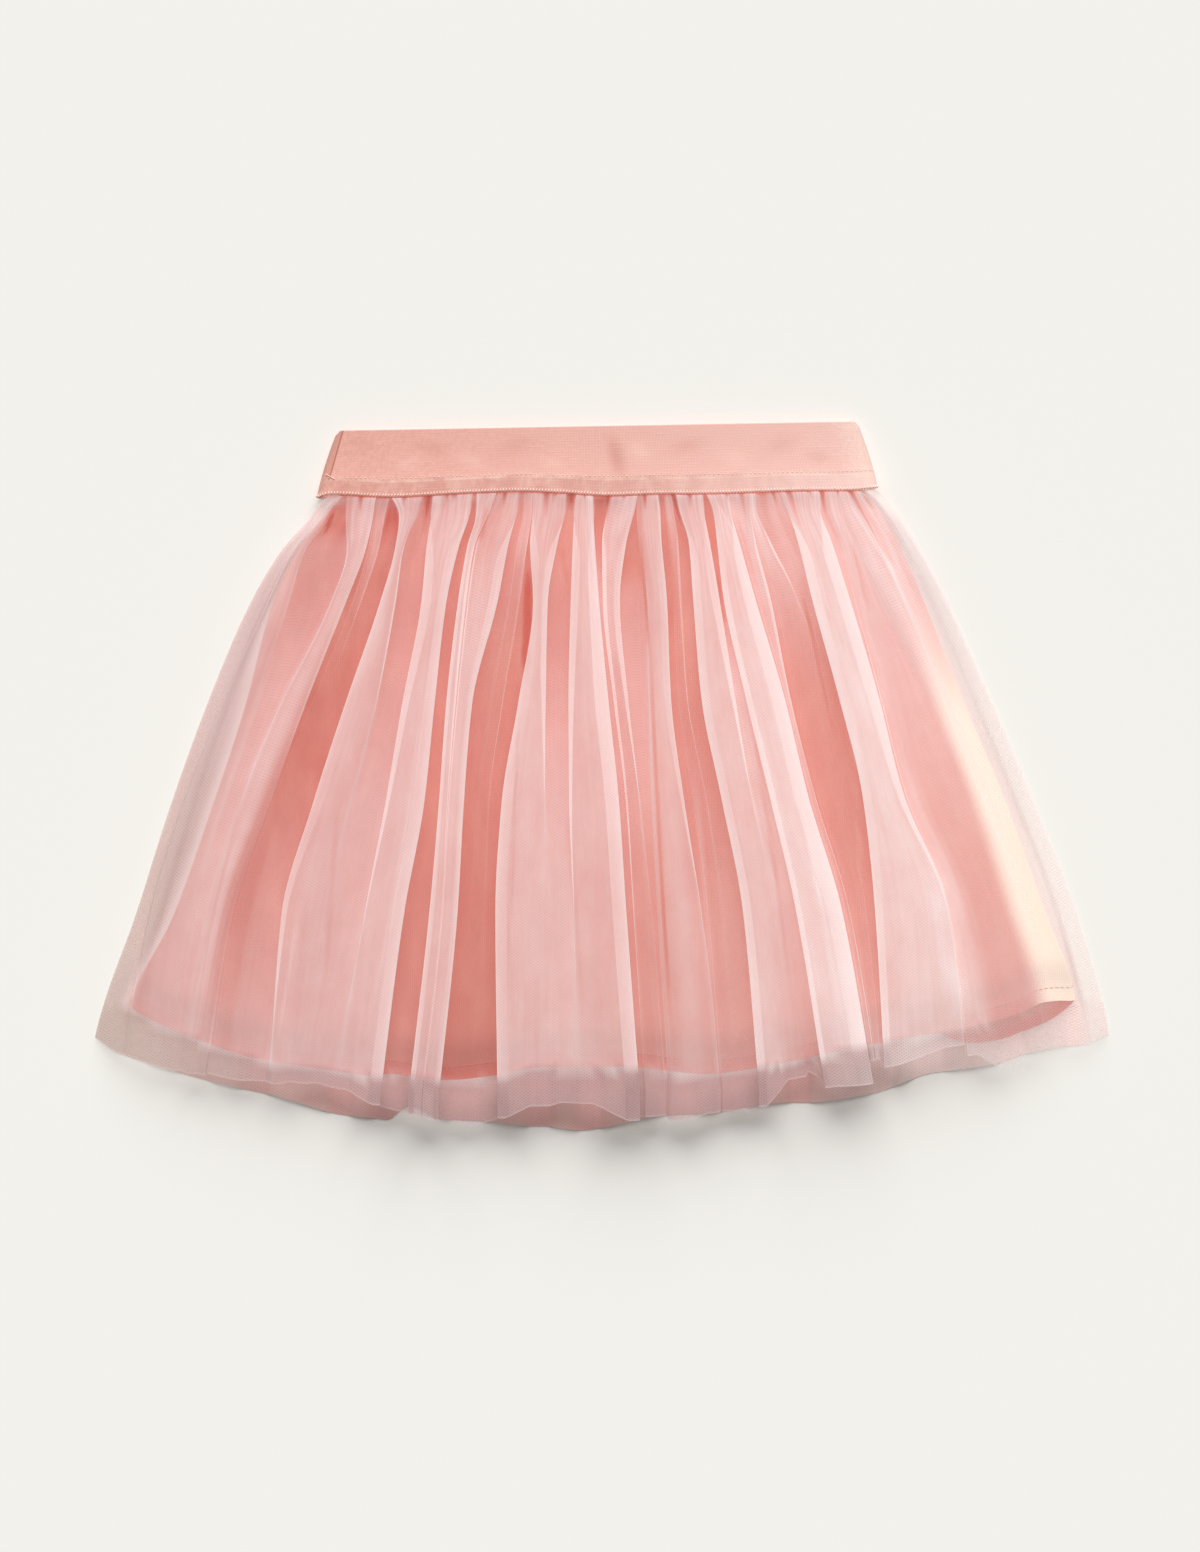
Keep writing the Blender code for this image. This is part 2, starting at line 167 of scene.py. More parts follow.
def smooth_between(columns: Array, steps: Sequence[int]) -> Array:
    """Puts further columns between given ones, on centripetal curves through them.

    Args:
        columns: the given columns, (columns, rows, values). The first three values are a place.
        steps: into how many parts each stretch between two given columns is divided.

    Returns:
        The columns of the finer grid, (more columns, rows, values).
    """
    reach = np.sqrt(np.linalg.norm(np.diff(columns[:, :, :3], axis=0), axis=2, keepdims=True)) + 1e-4
    rate = np.diff(columns, axis=0) / reach
    both = (columns[2:] - columns[:-2]) / (reach[:-1] + reach[1:])
    tangent = np.concatenate([rate[:1], rate[:-1] - both + rate[1:], rate[-1:]])
    finer = []
    for k, parts in enumerate(steps):
        for t in np.arange(parts) / parts:
            start, leave, end, arrive = hermite(t)
            bend = leave * tangent[k] + arrive * tangent[k + 1]
            finer.append(start * columns[k] + end * columns[k + 1] + reach[k] * bend)
    finer.append(columns[-1])
    return np.stack(finer)


@dataclass(frozen=True)
class SkirtForm:
    """The flat skirt's own form, which all its panels share."""

    waist_y: float = 136.3
    waist_slope: float = 0.0179
    net_half_hem: float = 244.3
    net_side: float = 258.0
    net_right_extra: float = 7.0
    jersey_half_hem: float = 227.5
    jersey_side: float = 241.0
    jersey_sag: float = 37.0
    jersey_right_extra: float = 6.0
    hem_roundness: float = 0.75
    right_extra_from: float = 0.6
    lining_margin: float = 2.0
    hem_down: float = 288.0
    wave_count: float = 5.5
    wave_height: float = 3.0
    wave_shift: float = 0.9
    hanging_below: float = 0.6
    hem_lead: float = 0.6
    hem_blur: float = 1.6
    side_blur: float = 6.0
    # The net beside the lining takes part of the painted shade of the net below its hem.
    left_hang: float = 0.45  # how much the net left of the lining looks as it does below its hem
    left_hang_more: float = 0.4
    left_from: Span = (60.0, 150.0)
    right_hang: float = 0.3
    over_lining: float = 2.15

    def waist(self, x: Array) -> Array:
        """The waist seam's place at x, which rises a little towards the right."""
        return self.waist_y + self.waist_slope * x

    def edge(self, column: str, down: Array) -> Array:
        """A side edge's place at a level; column is one of the outline table's names."""
        return table_curve(OUTLINES, column, down)

    def layer(self, column: str, down: Array) -> Array:
        """A layer's height at a level; column is one of the layer table's names."""
        return table_curve(LAYERS, column, down)

    def hem_arc(self, x: Array, half: float, side: float, sag: float, right_extra: float) -> Array:
        """How far down a hem is at x.

        Args:
            x: the place across the hem.
            half: half the hem's width.
            side: the length at the sides.
            sag: how much longer the arc is at the middle.
            right_extra: how much lower the right end hangs.

        Returns:
            The distance below the waist seam.
        """
        reach = np.minimum(1.0, np.abs(x) / half)
        extra = right_extra * ease((x / half - self.right_extra_from) / (1.0 - self.right_extra_from))
        return side + sag * (1.0 - reach * reach) ** self.hem_roundness + extra

    def net_arc(self, x: Array, sag: float) -> Array:
        """How far down a net panel's plain hem is at x."""
        return self.hem_arc(x, self.net_half_hem, self.net_side, sag, self.net_right_extra)

    def jersey_arc(self, x: Array) -> Array:
        """How far down the lining's plain hem is at x."""
        side, sag = self.jersey_side, self.jersey_sag
        return self.hem_arc(x, self.jersey_half_hem, side, sag, self.jersey_right_extra)

    def width_share(self, x: Array, down: Array) -> Array:
        """How far across the net x lies, 0 at its left side and 1 at its right."""
        left = self.edge("net_left", down)
        return (x - left) / (self.edge("net_right", down) - left)

    def jersey_wave(self, x: Array, down: Array) -> Array:
        """The soft waves of the front lining, which the net over it follows.

        Args:
            x: places across the skirt.
            down: how far below the waist seam they are.

        Returns:
            How high they lift the lining.
        """
        height = self.wave_height * ease(down / self.hem_down)
        turn = 2.0 * math.pi * self.wave_count * self.width_share(x, down) + self.wave_shift
        return height * 0.5 * (1.0 + np.cos(turn))

    def side_ease(self, x: Array, down: Array) -> Array:
        """0 at the net's side edges, and 1 from where it has come up over the lining.

        Args:
            x: places across the skirt.
            down: how far below the waist seam they are.

        Returns:
            The share at each place.
        """
        net_left, net_right = self.edge("net_left", down), self.edge("net_right", down)
        left = self.edge("jersey_left", down) - self.lining_margin
        right = self.edge("jersey_right", down) + self.lining_margin
        from_left, from_right = (x - net_left) / (left - net_left), (net_right - x) / (net_right - right)
        return ease(np.minimum(from_left, from_right))

    def below_lining(self, x: Array, down: Array) -> Array:
        """1 where the net hangs below the front lining's hem, and 0 above it.

        Args:
            x: places across the skirt.
            down: how far below the waist seam they are.

        Returns:
            The share at each place.
        """
        share = (x / self.jersey_half_hem + 1.0) / 2.0
        hem = self.jersey_arc(x) + table_curve(FRONT_HEM_DIPS, "drop", share)
        return ease((down - hem + self.hem_lead) / self.hem_blur)

    def hanging(self, x: Array, down: Array) -> Array:
        """1 where the net hangs beyond the lining's hem or sides, and 0 where it lies over the lining.

        Args:
            x: places across the skirt.
            down: how far below the waist seam they are.

        Returns:
            The share at each place.
        """
        below = self.below_lining(x, down - self.hanging_below)
        past_left = ease((self.edge("jersey_left", down) - x) / self.side_blur)
        past_right = ease((x - self.edge("jersey_right", down)) / self.side_blur)
        lower = self.left_hang + self.left_hang_more * ramp(down, *self.left_from)
        return np.maximum(below, np.maximum(lower * past_left, self.right_hang * past_right))

    def front_floor(self, x: Array, down: Array) -> Array:
        """The height at which the front net lies on the lining.

        Args:
            x: places across the skirt.
            down: how far below the waist seam they are.

        Returns:
            The height over the floor.
        """
        on_lining = self.layer("lining_front", down) + self.over_lining
        at_side = self.layer("front_side", down)
        return at_side + (on_lining + self.jersey_wave(x, down) - at_side) * self.side_ease(x, down)


FORM = SkirtForm()


# ---------------------------------------------------------------- meshes
HEM_SHARES = (0.9955, 0.9982, 0.9994, 1.0)


def row_levels(near: Sequence[float], far_rows: int) -> tuple[Array, Array]:
    """The levels of a panel's rows.

    Args:
        near: the levels near the waist, which are the same in each column.
        far_rows: how many rows follow, down to the hem.

    Returns:
        Two arrays, a and b: a row's level is a + b * (hem - last near level).
    """
    shares = np.concatenate([np.linspace(0.0, 1.0, far_rows + 1)[1:-1], HEM_SHARES])
    return (
        np.concatenate([np.asarray(near, float), np.full(len(shares), float(near[-1]))]),
        np.concatenate([np.zeros(len(near)), shares]),
    )


def column_levels(near: Sequence[float], far_rows: int, hem: Number) -> Array:
    """The levels of one column's rows, or of each column's where hem is an array.

    Args:
        near: the levels near the waist.
        far_rows: how many rows follow.
        hem: where the last row is.

    Returns:
        The levels, with the rows last.
    """
    base, share = row_levels(near, far_rows)
    hem_array = np.asarray(hem, float)[..., None]
    return base + share * (hem_array - near[-1])


def log_made(piece: Piece) -> None:
    """Logs a finished piece."""
    LOG.info("%s has %d faces", piece.name, len(piece.data.polygons))


def show(name: str, data: bpy.types.ID) -> Piece:
    """Puts an object with that data in the scene.

    Args:
        name: the object's name.
        data: its mesh, curve, light or camera.

    Returns:
        The object.
    """
    made = bpy.data.objects.new(name, data)
    bpy.context.scene.collection.objects.link(made)
    return made


@dataclass
class ClothGrid:
    """A cloth surface as a grid of points in millimetres, with its UV map and its attributes."""

    name: str
    points: Array
    uv: Array
    closed: bool = False
    values: dict[str, Array] = field(default_factory=dict)

    def to_object(self, material: Material) -> Piece:
        """Makes the mesh object, smooth-shaded, at the origin.

        Args:
            material: the cloth's material.

        Returns:
            The object.
        """
        columns, rows = self.points.shape[:2]
        corners_c = np.arange(columns if self.closed else columns - 1)
        c, r = (a.ravel() for a in np.meshgrid(corners_c, np.arange(rows - 1), indexing="ij"))
        corner_columns = np.stack([c, c, c + 1, c + 1], axis=1)
        corner_rows = np.stack([r, r + 1, r + 1, r], axis=1)
        faces = (corner_columns % columns) * rows + corner_rows
        mesh = bpy.data.meshes.new(self.name)
        mesh.from_pydata((self.points.reshape(-1, 3) * MM).tolist(), [], faces.tolist())
        layer = mesh.uv_layers.new(name="cloth")
        corner_uv = self.uv[corner_columns, corner_rows] * MM
        layer.data.foreach_set("uv", corner_uv.astype(np.float32).ravel())
        for key, value in self.values.items():
            attribute = mesh.attributes.new(key, "FLOAT", "POINT")
            attribute.data.foreach_set("value", value.astype(np.float32).ravel())
        mesh.shade_smooth()
        mesh.materials.append(material)
        return show(self.name, mesh)


def blend_normals(piece: Piece, share: float, others: Callable[[Array], Array]) -> None:
    """Turns a cloth's shading normals towards others, as open net and ribs scatter light all round.

    Args:
        piece: a mesh object.
        share: 0 leaves the normals as they are, and 1 turns them all the way.
        others: gives the other normals, from the mesh's own.
    """
    mesh = piece.data
    normals = np.empty(len(mesh.vertices) * 3, np.float32)
    mesh.vertex_normals.foreach_get("vector", normals)
    normals = normals.reshape(-1, 3).astype(float)
    turned = normals * (1.0 - share) + others(normals) * share
    turned /= np.linalg.norm(turned, axis=1, keepdims=True)
    mesh.normals_split_custom_set_from_vertices(turned.tolist())


def give_shell(piece: Piece, thickness: float, offset: float) -> None:
    """Gives a surface a wall; the vertex group "thick" scales it where the piece has one.

    Args:
        piece: the piece's object.
        thickness: the wall in millimetres.
        offset: -1 puts the wall inside the surface, and 0 half on each side.
    """
    wall = piece.modifiers.new("wall", "SOLIDIFY")
    wall.thickness = thickness * MM
    wall.offset = offset
    wall.use_even_offset = False
    if "thick" in piece.vertex_groups:
        wall.vertex_group = "thick"
        wall.thickness_vertex_group = 0.0


def baked_mesh(piece: Piece, name: str) -> bpy.types.Mesh:
    """The plain mesh that a piece's modifiers make.

    Args:
        piece: the piece's object.
        name: the new mesh's name.

    Returns:
        The mesh.
    """
    bpy.context.view_layer.update()
    graph = bpy.context.evaluated_depsgraph_get()
    mesh = bpy.data.meshes.new_from_object(piece.evaluated_get(graph))
    mesh.name = name
    return mesh


def bake_shell(piece: Piece) -> None:
    """Puts the wall that a piece's modifiers make into its mesh.

    Args:
        piece: the piece's object.
    """
    mesh = baked_mesh(piece, piece.data.name + "_walled")
    piece.modifiers.clear()
    piece.data = mesh


def add_thickness_group(piece: Piece, weights: Array) -> None:
    """Stores how thick the wall is at each point, as a share of the thickest.

    Args:
        piece: the piece's object.
        weights: one share for each point.
    """
    group = piece.vertex_groups.new(name="thick")
    flat = np.round(weights.ravel(), 2)
    for weight in np.unique(flat):
        group.add(np.nonzero(flat == weight)[0].tolist(), float(weight), "REPLACE")


# ---------------------------------------------------------------- finishes
Inputs = dict[Union[str, int], object]
Colour = tuple[float, float, float, float]
# Painted light: from here to there the cloth is painted paler, as light falls on it from the right.
PAINTED_LIGHT_SPAN = (-0.12, 0.22)  # the cloth is paler from here to there, in metres to the right


class Noise(NamedTuple):
    """An uneven pattern on the cloth, and the range of its values that is used."""

    stretch: Ends
    scale: float
    detail: float
    roughness: float
    low: float = 0.0
    high: float = 1.0


def add_node(tree: bpy.types.NodeTree, kind: str, given: Inputs, **settings: object) -> bpy.types.Node:
    """Adds a node to a tree.

    Args:
        tree: the tree.
        kind: the node's type.
        given: a link or a plain value for each input that isn't left as it is.
        settings: the node's properties.

    Returns:
        The node.
    """
    node = tree.nodes.new(kind)
    for key, value in settings.items():
        setattr(node, key, value)
    for key, value in given.items():
        if isinstance(value, bpy.types.NodeSocket):
            tree.links.new(value, node.inputs[key])
        else:
            node.inputs[key].default_value = value
    return node


class Nodes:
    """A short way to write a material's nodes."""

    def __init__(self, name: str) -> None:
        """Makes an empty material of that name.

        Args:
            name: the material's name.
        """
        self.material = bpy.data.materials.new(name)
        self.material.use_nodes = True
        self.tree = self.material.node_tree
        self.tree.nodes.clear()
        self.output = self.tree.nodes.new("ShaderNodeOutputMaterial")

    def put(self, kind: str, given: Inputs, output: str | int = 0, **settings: object) -> object:
        """Adds a shader node and returns one of its outputs."""
        return add_node(self.tree, "ShaderNode" + kind, given, **settings).outputs[output]

    def math(self, operation: str, first: object, second: object = 0.0, third: object = 0.0) -> object:
        """A Math node's result."""
        return self.put("Math", {0: first, 1: second, 2: third}, operation=operation)

    def times(self, first: object, *others: object) -> object:
        """The product of values.

        Args:
            first: a value or a socket.
            others: what it is multiplied by.

        Returns:
            The product's socket.
        """
        for other in others:
            first = self.math("MULTIPLY", first, other)
        return first

    def spread(self, value: object, low: float, high: float, to_low: object, to_high: object) -> object:
        """Maps a range of values to another, without passing its ends."""
        ends = {"From Min": low, "From Max": high, "To Min": to_low, "To Max": to_high}
        return self.put("MapRange", {"Value": value, **ends}, "Result")

    def mix_colour(self, share: object, first: object, second: object) -> object:
        """A colour between two others."""
        return self.put("Mix", {0: share, 6: first, 7: second}, 2, data_type="RGBA")

    def mix_shader(self, share: object, first: object, second: object) -> object:
        """A surface between two others."""
        return self.put("MixShader", {0: share, 1: first, 2: second})

    def uv(self, stretch: Ends = (1.0, 1.0), turn: float = 0.0) -> object:
        """The cloth's own UV map in metres, scaled and turned.

        Args:
            stretch: the scales along the cloth's two ways.
            turn: the turn, in radians.

        Returns:
            The place's socket.
        """
        source = self.put("UVMap", {}, uv_map="cloth")
        given = {"Vector": source, "Scale": (*stretch, 1.0), "Rotation": (0.0, 0.0, turn)}
        return self.put("Mapping", given)

    def noise(self, noise: Noise) -> object:
        """A noise's value on the cloth."""
        given = {"Scale": noise.scale, "Detail": noise.detail, "Roughness": noise.roughness}
        return self.put("TexNoise", {"Vector": self.uv(noise.stretch), **given}, "Fac")

    def noise_spread(self, noise: Noise, to_low: float, to_high: float) -> object:
        """A noise on the cloth, with its used range mapped to another."""
        return self.spread(self.noise(noise), noise.low, noise.high, to_low, to_high)

    def axis(self, vector: object, name: str) -> object:
        """One part of a vector: "X", "Y" or "Z"."""
        return self.put("SeparateXYZ", {0: vector}, name)

    def lines(self, vector: object, pitch: float, across: str) -> object:
        """Soft parallel threads: 1 on a thread and 0 between two.

        Args:
            vector: the place, in metres.
            pitch: from thread to thread, in millimetres.
            across: the axis that the threads are counted along, "X" or "Y".

        Returns:
            The value socket.
        """
        turns = self.math("MULTIPLY", self.axis(vector, across), 2.0 * math.pi / (pitch * MM))
        return self.math("MULTIPLY_ADD", self.math("SINE", turns), 0.5, 0.5)

    def place(self, name: str) -> object:
        """Where on the skirt a point is along one axis, in metres."""
        return self.axis(self.put("TexCoord", {}, "Object"), name)

    def painted_light_right(self) -> object:
        """Painted light: 0 at the skirt's left and 1 at its right, where the cloth is painted paler, as
        light falls on it from the right.
        """
        return self.spread(self.place("X"), *PAINTED_LIGHT_SPAN, 0.0, 1.0)

    def attribute(self, name: str) -> object:
        """A value that the mesh carries at its points."""
        return self.put("Attribute", {}, "Fac", attribute_name=name)

    def shadow_ray(self) -> object:
        """1 on the way to a light, and 0 elsewhere."""
        return self.put("LightPath", {}, "Is Shadow Ray")

    def bump(self, height: object, distance: float, strength: float) -> object:
        """A bump normal from a height, with the distance in millimetres."""
        return self.put("Bump", {"Distance": distance * MM, "Strength": strength, "Height": height})

    def finished(self, surface: object, shade_share: float = 1.0) -> Material:
        """Gives the material its surface.

        Args:
            surface: the surface's socket.
            shade_share: how much it shades, as light finds its way round and through thin cloth.

        Returns:
            The material.
        """
        if shade_share < 1.0:
            passing = self.math("MULTIPLY", self.shadow_ray(), 1.0 - shade_share)
            surface = self.mix_shader(passing, surface, self.put("BsdfTransparent", {}))
        self.tree.links.new(surface, self.output.inputs["Surface"])
        return self.material


@dataclass(frozen=True)
class NetFinish:
    """Fine soft net: see-through, with small meshes, and more coral where light comes through; painted
    shade where it hangs free, at its roots under the band and in pinches, and painted light towards the
    right.
    """

    name: str
    colour: Colour = (0.88, 0.745, 0.735, 1.0)
    # Painted light: the net's paler tone on the right, where light falls from the right.
    pale: Colour = (0.94, 0.90, 0.88, 1.0)
    # Painted shade: the net that hangs beyond the lining is painted darker, as the shade under the skirt's
    # edge, lighter to the right and browner to the left.
    hang_painted_shade: Colour = (0.52, 0.372, 0.375, 1.0)
    hang_painted_shade_right: Colour = (0.72, 0.635, 0.625, 1.0)
    hang_painted_shade_left: Colour = (0.52, 0.435, 0.395, 1.0)
    glow_colour: Colour = (0.95, 0.62, 0.57, 1.0)
    # Painted shade: the dark of threads deep in pinches and just under the band's edge.
    deep_painted_shade: Colour = (0.50, 0.07, 0.055, 1.0)
    # Painted shade: the coral of the net's roots just under the band, in the band's shade.
    root_painted_shade: Colour = (0.80, 0.36, 0.31, 1.0)
    mesh_pitch: float = 1.2
    mesh_turn: float = 60.0
    mesh_from: float = 0.35
    mesh_contrast: float = 0.08
    hanging_contrast: float = 0.24
    streaks: Noise = Noise((1.0, 0.05), 300.0, 2.0, 0.5, 0.3, 0.7)
    streak_contrast: float = 0.045
    clouds: Noise = Noise((1.0, 0.6), 60.0, 3.0, 0.6, 0.3, 0.7)
    cloud_contrast: float = 0.10
    gathers: Noise = Noise((1.0, 0.08), 420.0, 2.0, 0.5, 0.38, 0.62)
    gather_contrast: float = 0.16
    gather_length: float = 0.075
    most_cover: float = 0.97
    through: float = 0.22
    shade_share: float = 0.35  # of its cover, as threads pass light on
    hanging_shade_share: float = 1.6
    side_shade: float = 0.45
    side_shade_from: Ends = (0.14, 0.22)
    upright_shade: float = 0.25
    hanging_pale_from: Ends = (0.1, 0.145)
    hanging_left_to: Ends = (-0.225, -0.15)
    roughness: float = 0.6
    specular: float = 0.3

    def meshes(self, nodes: Nodes, hanging: object) -> object:
        """How dense the net is against its mean, from its meshes, streaks, clouds and gathers.

        Args:
            nodes: the material's nodes.
            hanging: how much the net hangs free, from 0 to 1.

        Returns:
            The value's socket, about 1.
        """
        turn = math.radians(self.mesh_turn)
        one, other = (nodes.lines(nodes.uv(turn=way), self.mesh_pitch, "X") for way in (turn, -turn))
        swing = nodes.spread(nodes.math("MAXIMUM", one, other), self.mesh_from, 1.0, -1.0, 1.0)
        contrast = nodes.spread(hanging, 0.0, 1.0, self.mesh_contrast, self.hanging_contrast)
        mesh = nodes.math("MULTIPLY_ADD", swing, contrast, 1.0)
        streak = nodes.noise_spread(self.streaks, 1.0 - self.streak_contrast, 1.0 + self.streak_contrast)
        cloud = nodes.noise_spread(self.clouds, 1.0 - self.cloud_contrast, 1.0 + self.cloud_contrast)
        along = nodes.axis(nodes.uv(), "Y")
        near_seam = nodes.spread(along, 0.0, self.gather_length, self.gather_contrast, 0.0)
        gathered = nodes.math("MULTIPLY_ADD", nodes.noise_spread(self.gathers, -1.0, 1.0), near_seam, 1.0)
        return nodes.times(mesh, gathered, streak, cloud)

    def shade(self, nodes: Nodes, hanging: object) -> object:
        """How much of the net's cover shades what lies under it.

        Args:
            nodes: the material's nodes.
            hanging: how much the net hangs free, from 0 to 1.

        Returns:
            The share's socket.
        """
        beside = nodes.math("ABSOLUTE", nodes.place("X"))
        hung = nodes.spread(beside, *self.side_shade_from, self.hanging_shade_share, self.side_shade)
        folded = nodes.math("SUBTRACT", nodes.attribute("upright"), hanging)
        upright = nodes.spread(folded, 0.0, 1.0, 1.0, self.upright_shade)
        return nodes.times(nodes.spread(hanging, 0.0, 1.0, self.shade_share, hung), upright)

    def tones(self, nodes: Nodes, hanging: object) -> object:
        """The colour of the net's threads, with painted shade where it hangs free, at its roots under the
        band and in pinches, and painted light towards the right.

        Args:
            nodes: the material's nodes.
            hanging: how much the net hangs free, from 0 to 1.

        Returns:
            The colour's socket.
        """
        x = nodes.place("X")
        # Where the net hangs free its threads are painted darker as shade, lighter to the right and darker
        # to the left.
        pale = nodes.spread(x, *self.hanging_pale_from, 0.0, 1.0)
        hung = nodes.mix_colour(pale, self.hang_painted_shade, self.hang_painted_shade_right)
        hung = nodes.mix_colour(nodes.spread(x, *self.hanging_left_to, 1.0, 0.0), hung, self.hang_painted_shade_left)
        tone = nodes.mix_colour(nodes.painted_light_right(), self.colour, self.pale)
        rooted = nodes.mix_colour(nodes.attribute("root"), tone, self.root_painted_shade)
        seen = nodes.mix_colour(hanging, rooted, hung)
        return nodes.mix_colour(nodes.attribute("deep"), seen, self.deep_painted_shade)

    def build(self) -> Material:
        """Makes the net's material.

        Returns:
            The material.
        """
        nodes = Nodes(self.name)
        hanging = nodes.attribute("hanging")
        veil = nodes.times(nodes.attribute("veil"), self.meshes(nodes, hanging))
        shade = nodes.spread(nodes.shadow_ray(), 0.0, 1.0, 1.0, self.shade(nodes, hanging))
        cover = nodes.times(nodes.math("MINIMUM", veil, self.most_cover), shade)
        cover = nodes.math("MINIMUM", cover, self.most_cover)
        tone = self.tones(nodes, hanging)
        look = {"Base Color": tone, "Roughness": self.roughness, "Specular IOR Level": self.specular}
        glow = nodes.put("BsdfTranslucent", {"Color": self.glow_colour})
        threads = nodes.mix_shader(self.through, nodes.put("BsdfPrincipled", look), glow)
        return nodes.finished(nodes.mix_shader(cover, nodes.put("BsdfTransparent", {}), threads))


@dataclass(frozen=True)
class JerseyFinish:
    """Fine coral jersey: matt, with wales that just show, a painted glow of light on its right edge, and
    painted shade towards the hem.
    """

    name: str
    colour: Colour = (0.55, 0.165, 0.13, 1.0)
    # Painted light: the lining's paler tone on the right, where light falls from the right.
    pale: Colour = (0.67, 0.235, 0.185, 1.0)
    worn: Colour = (0.72, 0.31, 0.24, 1.0)
    # Painted light: the cream glow where light from the right falls on the lining's right edge.
    painted_glow_cream: Colour = (0.91, 0.765, 0.63, 1.0)
    turned: Colour = (0.52, 0.11, 0.085, 1.0)
    turned_share: float = 0.5
    # Painted shade: the lining is painted darker towards the hem.
    lower: Colour = (0.38, 0.175, 0.14, 1.0)
    lower_share: float = 0.24
    lower_from: Ends = (0.13, 0.25)
    between: Colour = (0.45, 0.08, 0.06, 1.0)
    between_share: float = 0.14
    wear: Noise = Noise((1.0, 0.4), 55.0, 3.0, 0.55, 0.42, 0.72)
    wear_share: float = 0.4
    shade_share: float = 0.13
    wale_pitch: float = 0.9
    course_pitch: float = 0.8  # of the wales' pitch
    wale_share: float = 0.7
    roughness: float = 0.88
    specular: float = 0.15
    sheen: float = 0.15
    relief: Ends = (0.12, 0.6)

    def build(self) -> Material:
        """Makes the lining's material.

        Returns:
            The material.
        """
        nodes = Nodes(self.name)
        side = nodes.mix_colour(nodes.painted_light_right(), self.colour, self.pale)
        tone = nodes.mix_colour(nodes.noise_spread(self.wear, 0.0, self.wear_share), side, self.worn)
        # Painted shade, darker towards the hem.
        low = nodes.spread(nodes.axis(nodes.uv(), "Y"), *self.lower_from, 0.0, self.lower_share)
        tone = nodes.mix_colour(low, tone, self.lower)
        doubled = nodes.times(nodes.attribute("turned"), self.turned_share)
        tone = nodes.mix_colour(doubled, tone, self.turned)
        # The painted glow of light on the right edge.
        painted_glow_tone = nodes.mix_colour(nodes.attribute("painted_glow"), tone, self.painted_glow_cream)
        wales = nodes.lines(nodes.uv(), self.wale_pitch, "X")
        courses = nodes.lines(nodes.uv(), self.wale_pitch * self.course_pitch, "Y")
        courses = nodes.times(courses, 1.0 - self.wale_share)
        knit = nodes.math("MULTIPLY_ADD", wales, self.wale_share, courses)
        deep = nodes.spread(knit, 0.0, 1.0, self.between_share, 0.0)
        shaded = nodes.mix_colour(deep, painted_glow_tone, self.between)
        look = {"Base Color": shaded, "Roughness": self.roughness, "Specular IOR Level": self.specular}
        look.update({"Sheen Weight": self.sheen, "Normal": nodes.bump(knit, *self.relief)})
        return nodes.finished(nodes.put("BsdfPrincipled", look), self.shade_share)


